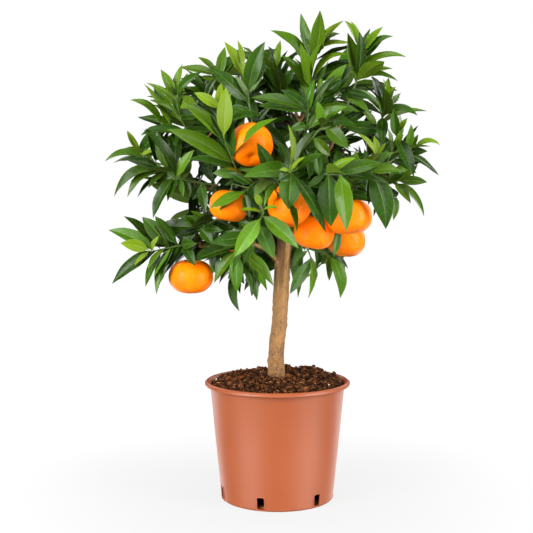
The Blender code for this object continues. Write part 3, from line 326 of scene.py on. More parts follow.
def new_material(name: str) -> tuple[bpy.types.Material, bpy.types.NodeTree, bpy.types.Node]:
    """Make a material with its Principled shader.

    Args:
        name: The material's name.

    Returns:
        The material, its node tree and its shader node.
    """
    made = bpy.data.materials.new(name)
    made.use_nodes = True
    return made, made.node_tree, made.node_tree.nodes["Principled BSDF"]


@dataclass(frozen=True)
class LeafFinish:
    """Living citrus leaf: waxy cuticle over a dark blade, with a soft broad sheen above and none below."""

    name: str
    upper_dark: str
    upper_light: str
    fresh: str
    under_dark: str
    under: str
    under_fresh: str
    margin: str
    rib: str
    roughness_upper: float = 0.24
    roughness_under: float = 0.55
    vein_pairs: float = 9.0
    vein_sweep: float = 0.14
    vein_share: float = 0.07
    rib_share: float = 0.45
    margin_share: float = 0.45
    mottle_mm: float = 14.0
    mottle_share: float = 0.22
    relief_mm: float = 0.5

    def make(self) -> bpy.types.Material:
        """Build the material.

        Returns:
            The leaf material, which reads the blade's own UV map and leaf attribute.
        """
        material, tree, shader = new_material(self.name)
        own = add_node(tree, "ShaderNodeAttribute", {"attribute_name": "leaf"})
        parts = add_node(tree, "ShaderNodeSeparateColor", None, {0: own.outputs["Color"]})
        tone, fresh, under = parts.outputs[0], parts.outputs[1], parts.outputs[2]
        uv = add_node(tree, "ShaderNodeUVMap", {"uv_map": "UVMap"})
        axes = add_node(tree, "ShaderNodeSeparateXYZ", None, {0: uv.outputs[0]})
        along, across = axes.outputs[0], axes.outputs[1]
        off_rib = calculate(tree, "ABSOLUTE", calculate(tree, "SUBTRACT", across, 0.5))
        off_rib = calculate(tree, "MULTIPLY", off_rib, 2.0)
        mottle = add_clouds(tree, object_place(tree), self.mottle_mm, 3.0)
        shade = ramp_between(tree, mottle, 0.3, 0.7)
        upper = tint(tree, to_linear(self.upper_dark), self.upper_light, tone)
        upper = tint(tree, upper, self.upper_light, shade, self.mottle_share)
        upper = tint(tree, upper, self.fresh, fresh)
        # The under face is paler: partly the leaf's own paler underside, partly painted light that stands
        # in for light shining through the thin blade.
        lower = tint(tree, to_linear(self.under_dark), self.under, tone)
        lower = tint(tree, lower, self.under_fresh, fresh)
        blade = blend_colours(tree, under, upper, lower)
        # Side veins leave the midrib and run forward to the margin.
        sweep = calculate(tree, "SUBTRACT", along, calculate(tree, "MULTIPLY", off_rib, self.vein_sweep))
        phase = calculate(tree, "MULTIPLY", sweep, self.vein_pairs * 2.0 * math.pi)
        vein = ramp_between(tree, calculate(tree, "SINE", phase), 0.80, 1.0)
        blade = tint(tree, blade, self.rib, vein, self.vein_share)
        rib_width = ramp_between(tree, along, 0.0, 1.0, 0.10, 0.025)
        rib = calculate(tree, "SUBTRACT", 1.0, calculate(tree, "DIVIDE", off_rib, rib_width))
        rib = ramp_between(tree, rib, 0.0, 0.6)
        blade = tint(tree, blade, self.rib, rib, self.rib_share)
        edge = ramp_between(tree, off_rib, 0.90, 1.0)
        blade = tint(tree, blade, self.margin, edge, self.margin_share)
        tree.links.new(blade, shader.inputs["Base Color"])
        rough = calculate(tree, "ADD", self.roughness_upper, calculate(tree, "MULTIPLY", shade, 0.08))
        spare = calculate(tree, "MULTIPLY", under, self.roughness_under - self.roughness_upper)
        tree.links.new(calculate(tree, "ADD", rough, spare), shader.inputs["Roughness"])
        height = calculate(tree, "SUBTRACT", calculate(tree, "MULTIPLY", mottle, 0.35), rib)
        height = calculate(tree, "SUBTRACT", height, calculate(tree, "MULTIPLY", vein, 0.35))
        add_relief(tree, shader, height, 0.35, self.relief_mm)
        shader.inputs["IOR"].default_value = 1.42
        shader.inputs["Specular IOR Level"].default_value = 0.22
        return material


@dataclass(frozen=True)
class StemFinish:
    """Green citrus twig of the year: smooth thin rind with faint ridges, which gives a dull satin green."""

    name: str
    green: str
    brown: str
    streak_mm: float = 2.5
    relief_mm: float = 0.3

    def make(self) -> bpy.types.Material:
        """Build the material.

        Returns:
            The stem material.
        """
        material, tree, shader = new_material(self.name)
        streaks = add_clouds(tree, object_place(tree), self.streak_mm, 3.0)
        share = ramp_between(tree, streaks, 0.35, 0.75)
        tree.links.new(tint(tree, to_linear(self.green), self.brown, share), shader.inputs["Base Color"])
        add_relief(tree, shader, streaks, 0.4, self.relief_mm)
        shader.inputs["Roughness"].default_value = 0.55
        return material


@dataclass(frozen=True)
class BarkFinish:
    """Young citrus bark: tan cork split by upright fissures and dotted with pale pores, dull all over."""

    name: str
    ridge: str
    plate: str
    fissure: str
    # The pale pore colour, which also lightens the upper trunk as painted light.
    pore_and_painted_light: str
    twig: str
    fissure_mm: float = 2.1
    fissure_stretch: float = 0.36
    pore_mm: float = 2.8
    patches_per_metre: float = 55.0
    relief_mm: float = 1.0

    def make(self) -> bpy.types.Material:
        """Build the material.

        Returns:
            The bark material, painted paler under the crown as painted light against the crown's shade, and
            greener and darker on the twigs.
        """
        material, tree, shader = new_material(self.name)
        place = object_place(tree)
        stretched = add_node(tree, "ShaderNodeMapping", None, {
            "Vector": place, "Scale": (1.0, 1.0, self.fissure_stretch),
        })
        cracks = add_clouds(tree, stretched.outputs[0], self.fissure_mm, 5.0, 0.62)
        broad = add_clouds(tree, place, 1000.0 / self.patches_per_metre, 3.0)
        flattened = add_node(tree, "ShaderNodeMapping", None, {"Vector": place, "Scale": (0.7, 0.7, 1.5)})
        pores = add_node(tree, "ShaderNodeTexVoronoi", None, {
            "Vector": flattened.outputs[0], "Scale": 1.0 / (self.pore_mm * MM),
        })
        split = ramp_between(tree, cracks, 0.36, 0.54)
        colour = tint(tree, to_linear(self.fissure), self.plate, split)
        colour = tint(tree, colour, self.ridge, ramp_between(tree, broad, 0.4, 0.65), 0.6)
        dots = ramp_between(tree, pores.outputs["Distance"], 0.12, 0.34, 1.0, 0.0)
        colour = tint(tree, colour, self.pore_and_painted_light, dots, 0.5)
        height = place_height(tree, place)
        # Painted light: the trunk is blended paler from 0.20 m up, against the shade that the crown casts
        # on it.
        colour = tint(tree, colour, self.pore_and_painted_light, ramp_between(tree, height, 0.20, 0.33, 0.0, 0.2))
        colour = tint(tree, colour, self.twig, ramp_between(tree, height, 0.36, 0.44, 0.0, 0.8))
        tree.links.new(colour, shader.inputs["Base Color"])
        relief = calculate(tree, "ADD", cracks, calculate(tree, "MULTIPLY", dots, 0.5))
        add_relief(tree, shader, relief, 0.7, self.relief_mm)
        shader.inputs["Roughness"].default_value = 0.82
        return material


@dataclass(frozen=True)
class PeelFinish:
    """Ripe mandarin peel: thin waxy rind over oil glands, with small pits and soft broken highlights."""

    name: str
    deep: str
    bright: str
    scar: str
    gland_mm: float = 1.5
    rumple_mm: float = 4.2
    patches_per_metre: float = 45.0
    relief_mm: float = 0.8

    def make(self) -> bpy.types.Material:
        """Build the material.

        Returns:
            The peel material, which reads the scar attribute for the marks at both ends.
        """
        material, tree, shader = new_material(self.name)
        place = object_place(tree)
        broad = add_clouds(tree, place, 1000.0 / self.patches_per_metre, 2.0)
        glands = add_node(tree, "ShaderNodeTexVoronoi", {"feature": "SMOOTH_F1"}, {
            "Vector": place, "Scale": 1.0 / (self.gland_mm * MM), "Smoothness": 0.5,
        })
        share = ramp_between(tree, broad, 0.2, 0.75)
        colour = tint(tree, to_linear(self.deep), self.bright, share)
        pits = ramp_between(tree, glands.outputs["Distance"], 0.0, 0.45, 1.0, 0.0)
        colour = tint(tree, colour, self.deep, pits, 0.18)
        own = add_node(tree, "ShaderNodeAttribute", {"attribute_name": "scar"})
        colour = tint(tree, colour, self.scar, own.outputs["Fac"])
        tree.links.new(colour, shader.inputs["Base Color"])
        rumples = add_clouds(tree, place, self.rumple_mm, 2.0)
        relief = calculate(tree, "SUBTRACT", calculate(tree, "MULTIPLY", rumples, 1.1), pits)
        add_relief(tree, shader, relief, 0.6, self.relief_mm)
        shader.inputs["Roughness"].default_value = 0.28
        shader.inputs["IOR"].default_value = 1.42
        shader.inputs["Specular IOR Level"].default_value = 0.15
        return material


@dataclass(frozen=True)
class SoilFinish:
    """Peat and bark potting mix: loose dark crumbs with paler shreds, quite dull."""

    name: str
    dark: str
    warm: str
    pale: str
    crumb_mm: float = 2.2
    clump_mm: float = 7.0
    relief_mm: float = 1.5

    def make(self) -> bpy.types.Material:
        """Build the material.

        Returns:
            The potting mix material, whose tone attribute goes from dark peat to pale shreds.
        """
        material, tree, shader = new_material(self.name)
        place = object_place(tree)
        grain = add_clouds(tree, place, self.crumb_mm, 4.0)
        tone = add_node(tree, "ShaderNodeAttribute", {"attribute_name": "tone"}).outputs["Fac"]
        share = calculate(
            tree, "ADD", calculate(tree, "MULTIPLY", ramp_between(tree, grain, 0.38, 0.62), 0.5),
            calculate(tree, "MULTIPLY", ramp_between(tree, tone, 0.0, 0.45), 0.7),
        )
        colour = tint(tree, to_linear(self.dark), self.warm, share)
        clumps = add_clouds(tree, place, self.clump_mm, 3.0)
        colour = tint(tree, colour, self.dark, ramp_between(tree, clumps, 0.40, 0.56, 0.8, 0.0))
        # Painted shade: the mix low in the pot, seen only through the drainage slots, is darkened fully to
        # the dark peat colour.
        deep_painted_shade = ramp_between(tree, place_height(tree, place), 0.07, 0.13, 1.0, 0.0)
        colour = tint(tree, colour, self.dark, deep_painted_shade)
        colour = tint(tree, colour, self.pale, ramp_between(tree, tone, 0.45, 1.0))
        tree.links.new(colour, shader.inputs["Base Color"])
        add_relief(tree, shader, grain, 0.9, self.relief_mm)
        shader.inputs["Roughness"].default_value = 0.92
        shader.inputs["Specular IOR Level"].default_value = 0.1
        return material


@dataclass(frozen=True)
class PotFinish:
    """Injection-moulded terracotta coloured polypropylene: satin skin with faint grain and wide sheen."""

    name: str
    body: str
    light: str
    grain_mm: float = 0.9
    patches_per_metre: float = 14.0
    relief_mm: float = 0.3

    def make(self) -> bpy.types.Material:
        """Build the material.

        Returns:
            The pot's plastic.
        """
        material, tree, shader = new_material(self.name)
        place = object_place(tree)
        drift = add_clouds(tree, place, 1000.0 / self.patches_per_metre, 2.0)
        grain = add_clouds(tree, place, self.grain_mm, 2.0)
        share = ramp_between(tree, drift, 0.35, 0.7, 0.0, 0.3)
        tree.links.new(tint(tree, to_linear(self.body), self.light, share), shader.inputs["Base Color"])
        tree.links.new(ramp_between(tree, drift, 0.3, 0.7, 0.42, 0.48), shader.inputs["Roughness"])
        add_relief(tree, shader, grain, 0.12, self.relief_mm)
        shader.inputs["IOR"].default_value = 1.49
        return material


def deselect_all() -> None:
    """Leave edit mode if need be and deselect every object."""
    if bpy.context.object and bpy.context.object.mode != "OBJECT":
        bpy.ops.object.mode_set(mode="OBJECT")
    bpy.ops.object.select_all(action="DESELECT")


def make_active(piece: bpy.types.Object) -> None:
    """Select one object alone and make it active."""
    deselect_all()
    piece.select_set(True)
    bpy.context.view_layer.objects.active = piece


def apply_modifiers(piece: bpy.types.Object) -> None:
    """Apply every modifier of an object in order."""
    make_active(piece)
    for modifier in list(piece.modifiers):
        bpy.ops.object.modifier_apply(modifier=modifier.name)


def apply_place(piece: bpy.types.Object) -> None:
    """Move an object's place into its mesh."""
    make_active(piece)
    bpy.ops.object.transform_apply(location=True, rotation=True, scale=True)


def join_pieces(pieces: list[bpy.types.Object], name: str) -> bpy.types.Object:
    """Join several objects into the first one.

    Args:
        pieces: The objects.
        name: The joined object's name.

    Returns:
        The joined object.
    """
    deselect_all()
    for piece in pieces:
        piece.select_set(True)
    bpy.context.view_layer.objects.active = pieces[0]
    if len(pieces) > 1:
        bpy.ops.object.join()
    joined = bpy.context.view_layer.objects.active
    joined.name = name
    joined.data.name = name
    return joined


def merged_copy(node: str, name: str) -> bpy.types.Object:
    """Copy a solid of the frame and weld its loose triangles.

    Args:
        node: The solid's name.
        name: The copy's name.

    Returns:
        The copy, linked to the scene.
    """
    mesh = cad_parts[node].data.copy()
    work = bmesh.new()
    work.from_mesh(mesh)
    bmesh.ops.remove_doubles(work, verts=work.verts, dist=1e-6)
    work.to_mesh(mesh)
    work.free()
    mesh.materials.clear()
    piece = bpy.data.objects.new(name, mesh)
    bpy.context.scene.collection.objects.link(piece)
    return piece


def corner_array(mesh: bpy.types.Mesh) -> np.ndarray:
    """Give the places of a mesh's corners as rows."""
    return np.array([tuple(vert.co) for vert in mesh.vertices])


def face_lists(mesh: bpy.types.Mesh) -> list[list[int]]:
    """Give the faces of a mesh as index lists."""
    return [list(face.vertices) for face in mesh.polygons]


def repeat_faces(faces: list[list[int]], count: int, copies: int) -> list[list[int]]:
    """Number the faces of several copies of one shape through.

    Args:
        faces: The faces of one copy.
        count: How many corners one copy has.
        copies: How many copies there are.

    Returns:
        The faces of all copies.
    """
    return [[index + count * number for index in face] for number in range(copies) for face in faces]


def mesh_object(name: str, corners: np.ndarray, faces: list[list[int]]) -> bpy.types.Object:
    """Make an object of corners and faces.

    Args:
        name: Its name.
        corners: The corners' places in metres.
        faces: The faces as index lists.

    Returns:
        The object, linked to the scene.
    """
    mesh = bpy.data.meshes.new(name)
    mesh.from_pydata([tuple(row) for row in corners], [], faces)
    made = bpy.data.objects.new(name, mesh)
    bpy.context.scene.collection.objects.link(made)
    return made


def settle_piece(piece: bpy.types.Object, nodes: list[str]) -> None:
    """Say what a finished piece rides on, and hide the solids that it stands for.

    Args:
        piece: The finished object.
        nodes: The solids that it replaces, if any.
    """
    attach(piece, ROOT_BODY)
    if nodes:
        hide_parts(*nodes)
    LOG.info("%s: %d faces", piece.name, len(piece.data.polygons))


def to_front_view(point: Vector) -> tuple[float, float]:
    """Give the seen x and z, in millimetres, of a place in millimetres."""
    reach = (point.y - EYE_MM.y) / -EYE_MM.y
    return EYE_MM.x + (point.x - EYE_MM.x) / reach, EYE_MM.z + (point.z - EYE_MM.z) / reach


def from_front_view(x: float, z: float, depth: float) -> Vector:
    """Give the place in metres that is seen at an x and z, at a depth, all in millimetres."""
    reach = (depth - EYE_MM.y) / -EYE_MM.y
    return Vector((EYE_MM.x + (x - EYE_MM.x) * reach, depth, EYE_MM.z + (z - EYE_MM.z) * reach)) * MM


@dataclass
class BladePose:
    """How one leaf stands, in metres: its curved midrib, which way its upper face looks, and its width."""

    root: Vector
    control: Vector
    tip: Vector
    up: Vector
    width: float
    fresh: float = 0.0
    tone: float = 0.0

    def bow(self, push_x: float, push_z: float) -> None:
        """Arch the leaf sideways by moving its middle, with both ends kept.

        Args:
            push_x: How far to the right, in metres.
            push_z: How far up, in metres.
        """
        self.control = self.control + Vector((2.0 * push_x, 0.0, 2.0 * push_z))

    def show_width(self, shown: float) -> None:
        """Turn the upper face about the midrib until the leaf shows a width from the front.

        Args:
            shown: The width to show, in metres.
        """
        along = (self.tip - self.root).normalized()
        sight = EYE_MM * MM - (self.root + self.tip) * 0.5
        toward = (sight - along * sight.dot(along)).normalized()
        side = along.cross(toward)
        self.width = max(self.width, shown)
        share = shown / self.width
        front = 1.0 if self.up.dot(toward) >= 0.0 else -1.0
        beside = 1.0 if self.up.dot(side) >= 0.0 else -1.0
        self.up = toward * (front * share) + side * (beside * math.sqrt(1.0 - share * share))


@dataclass
class BladeReader:
    """Reads the leaves of a solid back from its corners: two rings of four on the midrib, and a tip."""

    ring_places: tuple[float, float] = (0.30, 0.64)
    outer_share: float = 0.92
    outer_thickness_mm: float = 1.24
    thickness_slack_mm: float = 0.05
    fold: float = math.radians(19.0)

    def read(self, work: bmesh.types.BMesh) -> tuple[list[BladePose], set[bmesh.types.BMVert]]:
        """Find every leaf.

        Args:
            work: The merged solid.

        Returns:
            The leaves, and the corners that belong to them.
        """
        poses: list[BladePose] = []
        owned: set[bmesh.types.BMVert] = set()
        for tip in work.verts:
            found = self.rings_below(tip)
            if found is None:
                continue
            ribs, edges, inner_ribs, inner_edges = found
            poses.append(self.solve(tip, ribs, edges, inner_ribs))
            owned.update([tip, *ribs, *edges, *inner_ribs, *inner_edges])
        return poses, owned

    def rings_below(self, tip: bmesh.types.BMVert) -> tuple[list, list, list, list] | None:
        """Give both rings below a corner if it is a leaf's tip.

        Args:
            tip: The corner.

        Returns:
            The outer ring's rib and edge corners, then the inner ring's, or None.
        """
        around = [edge.other_vert(tip) for edge in tip.link_edges]
        if len(around) != 4:
            return None
        edges = [vert for vert in around if len(vert.link_edges) == 4]
        ribs = [vert for vert in around if len(vert.link_edges) == 6]
        if len(edges) != 2 or len(ribs) != 2:
            return None
        thickness_mm = (ribs[0].co - ribs[1].co).length / MM
        if abs(thickness_mm - self.outer_thickness_mm) > self.thickness_slack_mm:
            return None
        outer = {tip, *ribs, *edges}
        inner_edges = self.next_below(edges, outer)
        if inner_edges is None:
            return None
        inner_ribs = self.next_below(ribs, outer | set(inner_edges))
        if inner_ribs is None:
            return None
        return ribs, edges, inner_ribs, inner_edges

    def next_below(self, verts: list, taken: set) -> list | None:
        """Give the one corner that lies below each corner of a ring.

        Args:
            verts: The ring's corners.
            taken: The corners that are known already.

        Returns:
            The corners below, or None if one has none or several.
        """
        found = []
        for vert in verts:
            around = [edge.other_vert(vert) for edge in vert.link_edges]
            below = [other for other in around if other not in taken]
            if len(below) != 1:
                return None
            found.append(below[0])
        return found

    def solve(
        self, tip: bmesh.types.BMVert, ribs: list, edges: list, inner_ribs: list,
    ) -> BladePose:
        """Work out a leaf's midrib from its rings.

        Args:
            tip: The tip's corner.
            ribs: The outer ring's rib corners.
            edges: The outer ring's edge corners.
            inner_ribs: The inner ring's rib corners.

        Returns:
            The leaf.
        """
        near, far = self.ring_places
        first = (inner_ribs[0].co + inner_ribs[1].co) * 0.5 - tip.co * near ** 2
        second = (ribs[0].co + ribs[1].co) * 0.5 - tip.co * far ** 2
        a, b = (1.0 - near) ** 2, 2.0 * near * (1.0 - near)
        c, d = (1.0 - far) ** 2, 2.0 * far * (1.0 - far)
        spread = a * d - b * c
        root = (first * d - second * b) / spread
        control = (second * a - first * c) / spread
        middle = (ribs[0].co + ribs[1].co) * 0.5
        up = ((edges[0].co + edges[1].co) * 0.5 - middle).normalized()
        width = (edges[0].co - edges[1].co).length / (self.outer_share * math.cos(self.fold))
        return BladePose(root, control, tip.co.copy(), up, width)


@dataclass
class LeafBlade:
    """The leaf modelled once, and the way a copy of it is bent along each midrib."""

    rows: int = 10
    columns: int = 4
    thickness: float = 0.00045
    petiole_share: float = 0.07
    petiole_half: float = 0.0008
    petiole_depth: float = 0.0012
    fold: float = math.radians(19.0)
    template: np.ndarray = field(default_factory=lambda: np.zeros((0, 3)))
    faces: list[list[int]] = field(default_factory=list)
    corner_uv: np.ndarray = field(default_factory=lambda: np.zeros((0, 2)))
    corner_under: np.ndarray = field(default_factory=lambda: np.zeros(0))

    def outline(self, along: np.ndarray) -> np.ndarray:
        """Give the share of the full width along the leaf: widest near the middle, with a drawn-out tip."""
        places = (0.0, 0.07, 0.10, 0.20, 0.30, 0.40, 0.50, 0.60, 0.70, 0.80, 0.90, 0.96, 1.0)
        shares = (0.0, 0.05, 0.26, 0.68, 0.90, 1.0, 1.0, 0.93, 0.79, 0.58, 0.30, 0.13, 0.0)
        return np.interp(along, places, shares)

    def model(self) -> None:
        """Model the flat blade once: a grid with both ends drawn to a point, doubled and welded round."""
        deselect_all()
        bpy.ops.mesh.primitive_grid_add(x_subdivisions=self.columns, y_subdivisions=self.rows, size=2.0)
        blade = bpy.context.object
        bpy.ops.object.mode_set(mode="EDIT")
        for end in (-1.0, 1.0):
            work = bmesh.from_edit_mesh(blade.data)
            for vert in work.verts:
                vert.select_set(abs(vert.co.y - end) < 1e-4)
            work.select_flush_mode()
            bmesh.update_edit_mesh(blade.data)
            bpy.ops.mesh.merge(type="CENTER")
        bpy.ops.object.mode_set(mode="OBJECT")
        margin = blade.vertex_groups.new(name="blade")
        for vert in blade.data.vertices:
            inside = abs(vert.co.x) < 0.99 and abs(vert.co.y) < 0.99
            margin.add([vert.index], 1.0 if inside else 0.0, "REPLACE")
        thick = blade.modifiers.new("two faces", "SOLIDIFY")
        thick.thickness = 1.0
        thick.offset = 0.0
        thick.use_rim = False
        thick.vertex_group = margin.name
        thick.thickness_vertex_group = 0.0
        apply_modifiers(blade)
        bpy.ops.object.mode_set(mode="EDIT")
        bpy.ops.mesh.select_all(action="SELECT")
        bpy.ops.mesh.remove_doubles(threshold=1e-4)
        bpy.ops.mesh.normals_make_consistent(inside=False)
        bpy.ops.object.mode_set(mode="OBJECT")
        mesh = blade.data
        self.template = corner_array(mesh)
        self.faces = face_lists(mesh)
        uv = []
        under = []
        for face in mesh.polygons:
            side = BladeSide.UPPER if face.normal.z > 0.0 else BladeSide.UNDER
            for index in face.vertices:
                across, along, _ = self.template[index]
                uv.append(((along + 1.0) * 0.5, (across + 1.0) * 0.5))
                under.append(side.value)
        self.corner_uv = np.array(uv)
        self.corner_under = np.array(under)
        bpy.data.objects.remove(blade)

    def bend(self, pose: BladePose, chance: random.Random) -> np.ndarray:
        """Bend a copy of the blade along a leaf's midrib.

        Args:
            pose: How the leaf stands.
            chance: The seeded draw for its own waves.

        Returns:
            The places of its corners in metres.
        """
        across = self.template[:, 0]
        along = (self.template[:, 1] + 1.0) * 0.5
        face = self.template[:, 2]
        root, control, tip = (np.array(place) for place in (pose.root, pose.control, pose.tip))
        t = along[:, None]
        spine = root * (1 - t) ** 2 + control * (2 * t * (1 - t)) + tip * t ** 2
        flow = (control - root) * (1 - t) + (tip - control) * t
        flow /= np.linalg.norm(flow, axis=1)[:, None]
        up = np.array(pose.up)[None, :] - flow * (flow @ np.array(pose.up))[:, None]
        up /= np.linalg.norm(up, axis=1)[:, None]
        side = np.cross(up, flow)
        half = 0.5 * pose.width * self.outline(along)
        petiole = np.clip(1.0 - along / self.petiole_share, 0.0, 1.0)
        half = np.maximum(half, self.petiole_half * np.minimum(1.0, (1.0 - along) * 12.0))
        fold = self.fold * chance.uniform(0.9, 1.7)
        curl = chance.uniform(0.0, 0.30)
        waves = chance.uniform(1.2, 2.6)
        start = chance.uniform(0.0, 2.0 * math.pi)
        deep = chance.uniform(0.02, 0.09)
        reach = across * half * math.cos(fold)
        rise = np.abs(across) * half * math.sin(fold) - curl * half * np.abs(across) ** 3
        swing = np.sin(2 * math.pi * waves * along + start + (across > 0) * 1.3)
        rise += deep * half * np.abs(across) ** 2 * swing
        depth = face * (self.thickness + petiole * self.petiole_depth)
        return spine + side * reach[:, None] + up * (rise + depth)[:, None]


@dataclass
class Foliage:
    """Keeps what has been placed so far, and finds room for further leaves inside the crown."""

    chance: random.Random
    blade: LeafBlade
    trees: list[BVHTree] = field(default_factory=list)
    lows: list[np.ndarray] = field(default_factory=list)
    highs: list[np.ndarray] = field(default_factory=list)
    reach_by_turn: list[float] = field(default_factory=lambda: [0.0] * 72)
    fruits: list[tuple[float, float, float, float]] = field(default_factory=list)
    trunk_top_mm: float = 366.0
    trunk_x_mm: float = 2.0
    trunk_clear_mm: float = 15.0
    trunk_depth_mm: float = 4.0
    fruit_clear_mm: float = 6.0
    root_end: float = -0.76
    cover_lengths: tuple[float, float] = (0.034, 0.080)
    crown_reach_mm: tuple[float, float, float] = (225.0, 185.0, 195.0)
    width_share: float = 0.33
    tested_shares: tuple[float, ...] = (0.35, 0.6, 0.8, 1.0)
    depth_shifts_mm: tuple[float, ...] = (0.0, 5.0, -5.0, 10.0, -10.0, 16.0, 24.0)
    roots_tried: int = 14
    grow_tries: int = 9

    def add(self, corners: np.ndarray, faces: list[list[int]]) -> None:
        """Remember a shape.

        Args:
            corners: Its corners in metres.
            faces: Its faces as index lists.
        """
        self.trees.append(BVHTree.FromPolygons([tuple(row) for row in corners], faces))
        self.lows.append(corners.min(axis=0))
        self.highs.append(corners.max(axis=0))

    def add_solid(self, node: str) -> np.ndarray:
        """Remember a solid of the frame.

        Args:
            node: The solid's name.

        Returns:
            Its corners in metres.
        """
        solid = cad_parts[node].data
        corners = corner_array(solid)
        self.add(corners, face_lists(solid))
        return corners

    def add_if_clear(self, pose: BladePose) -> bool:
        """Remember a leaf if it crosses nothing placed so far.

        Args:
            pose: The leaf.

        Returns:
            True if it was clear, and so was remembered.
        """
        corners = self.blade.bend(pose, random.Random(1))
        if not self.is_clear(corners):
            return False
        self.add(corners, self.blade.faces)
        return True

    def is_clear(self, corners: np.ndarray) -> bool:
        """Tell if a blade crosses nothing placed so far beyond its own root.

        Args:
            corners: The blade's corners in metres.

        Returns:
            True if it is clear.
        """
        outer_faces = [
            face for face in self.blade.faces
            if min(self.blade.template[index][1] for index in face) > self.root_end
        ]
        low, high = corners.min(axis=0), corners.max(axis=0)
        lows, highs = np.array(self.lows), np.array(self.highs)
        near = np.nonzero(np.all(lows <= high, axis=1) & np.all(highs >= low, axis=1))[0]
        if len(near) == 0:
            return True
        own = BVHTree.FromPolygons([tuple(row) for row in corners], outer_faces)
        return not any(own.overlap(self.trees[index]) for index in near)

    def learn_outline(self, poses: list[BladePose]) -> None:
        """Learn from the leaves of the solids how far the crown reaches each way in the front view.

        Args:
            poses: Every leaf of the solids.
        """
        turns = len(self.reach_by_turn)
        for pose in poses:
            for share in (0.6, 1.0):
                index, reach = self.turn_and_reach(*to_front_view(pose.root.lerp(pose.tip, share) / MM))
                self.reach_by_turn[index] = max(self.reach_by_turn[index], reach)
        known = list(self.reach_by_turn)
        for index in range(turns):
            near = [known[(index + step) % turns] for step in (-1, 0, 1)]
            self.reach_by_turn[index] = sum(near) / 3.0

    def turn_and_reach(self, x: float, z: float) -> tuple[int, float]:
        """Give a seen place's direction from the crown's heart as a step of the turn, and its distance."""
        gap = (x - CROWN_HEART_MM.x, z - CROWN_HEART_MM.z)
        turn = math.atan2(gap[1], gap[0]) / (2 * math.pi) % 1.0
        return int(turn * len(self.reach_by_turn)), math.hypot(*gap)

    def add_fruit(self, node: str) -> None:
        """Remember a fruit, so that no further leaf hides one of the front from the camera.

        Args:
            node: The fruit's solid.
        """
        corners = self.add_solid(node)
        if "back" in node:
            return
        middle = Vector((corners.min(axis=0) + corners.max(axis=0)) * 0.5) / MM
        x, z = to_front_view(middle)
        self.fruits.append((x, z, 0.5 * float(np.ptp(corners[:, 0])) / MM, middle.y))

    def hides(self, x: float, z: float, depth: float) -> bool:
        """Tell if a place, in millimetres, stands in front of a fruit or of the bare trunk."""
        by_trunk = abs(x - self.trunk_x_mm) < self.trunk_clear_mm and z < self.trunk_top_mm
        if by_trunk and depth < self.trunk_depth_mm:
            return True
        return any(
            depth < fruit_depth and math.hypot(x - fruit_x, z - fruit_z) < radius + self.fruit_clear_mm
            for fruit_x, fruit_z, radius, fruit_depth in self.fruits
        )

    def inside(self, place: Vector, share: float) -> bool:
        """Tell if a place lies inside the crown.

        Args:
            place: The place in metres.
            share: How much of the crown's reach may be used.

        Returns:
            True if it is inside and not in one of the openings.
        """
        x, z = to_front_view(place / MM)
        for window_x, window_z, radius in CROWN_WINDOWS_MM:
            if math.hypot(x - window_x, z - window_z) < radius:
                return False
        if self.hides(x, z, place.y / MM):
            return False
        index, reach = self.turn_and_reach(x, z)
        if reach > share * self.reach_by_turn[index]:
            return False
        deep = place / MM - CROWN_HEART_MM
        return sum((gap / limit) ** 2 for gap, limit in zip(deep, self.crown_reach_mm)) < 1.0

    def runs_inside(self, root: Vector, tip: Vector, share: float) -> bool:
        """Tell if a leaf stays inside the crown from its lower third to its tip.

        Args:
            root: Its root in metres.
            tip: Its tip in metres.
            share: How much of the crown's reach may be used.

        Returns:
            True if it does.
        """
        return all(self.inside(root.lerp(tip, part), share) for part in self.tested_shares)

    def grow(
        self, root: Vector, flow: Vector, lengths_mm: tuple[float, float], share: float,
    ) -> BladePose | None:
        """Try to grow one more leaf from a place on a stem.

        Args:
            root: Where it grows, in metres.
            flow: The stem's direction.
            lengths_mm: The shortest and longest leaf.
            share: How much of the crown's reach may be used.

        Returns:
            The leaf, or None if there is no room.
        """
        outward = root / MM - CROWN_HEART_MM
        outward.z *= 0.6
        outward.normalize()
        for _ in range(self.grow_tries):
            turn = Matrix.Rotation(self.chance.uniform(0.0, 2.0 * math.pi), 3, flow)
            across = turn @ flow.orthogonal().normalized()
            lean = self.chance.uniform(0.6, 1.25)
            heading = flow * math.cos(lean) + across * math.sin(lean) + outward * 0.35
            heading = (heading + Vector((0.0, 0.0, self.chance.uniform(-0.3, 0.15)))).normalized()
            length = self.chance.uniform(*lengths_mm) * MM
            tip = root + heading * length
            if heading.y < -0.25 and root.y < 0.0:
                continue
            if not self.runs_inside(root, tip, share):
                continue
            upward = Vector((0.0, 0.0, 0.8)) + outward * 0.6 + Vector((
                self.chance.uniform(-0.5, 0.5), self.chance.uniform(-0.5, 0.5), 0.0,
            ))
            up = upward - heading * upward.dot(heading)
            if up.length < 0.2:
                continue
            up.normalize()
            control = (root + tip) * 0.5 + up * (self.chance.uniform(0.06, 0.15) * length)
            width = length * self.chance.uniform(0.30, 0.37)
            pose = BladePose(root, control, tip, up, width)
            if self.add_if_clear(pose):
                return pose
        return None

    def place_shown(self, roots: list[Vector], row: tuple[float, ...]) -> BladePose | None:
        """Put one listed leaf on the nearest stem.

        Args:
            roots: Places on the stems, in metres.
            row: One entry of the list of shown leaves.

        Returns:
            The leaf, or None if there is no room.
        """
        root_x, root_z, tip_x, tip_z, forward, shown = row
        ranked = sorted(roots, key=lambda root: (
            math.dist(to_front_view(root / MM), (root_x, root_z)) + 0.1 * root.y / MM
        ))
        for root in ranked[:self.roots_tried]:
            for shift in self.depth_shifts_mm:
                tip = from_front_view(tip_x, tip_z, root.y / MM - forward + shift)
                length = (tip - root).length
                up = Vector((0.0, -0.7, 0.7))
                pose = BladePose(root, (root + tip) * 0.5, tip, up, length * self.width_share)
                pose.show_width(shown * MM)
                pose.control = pose.control + pose.up * (0.12 * length)
                if self.add_if_clear(pose):
                    return pose
        return None

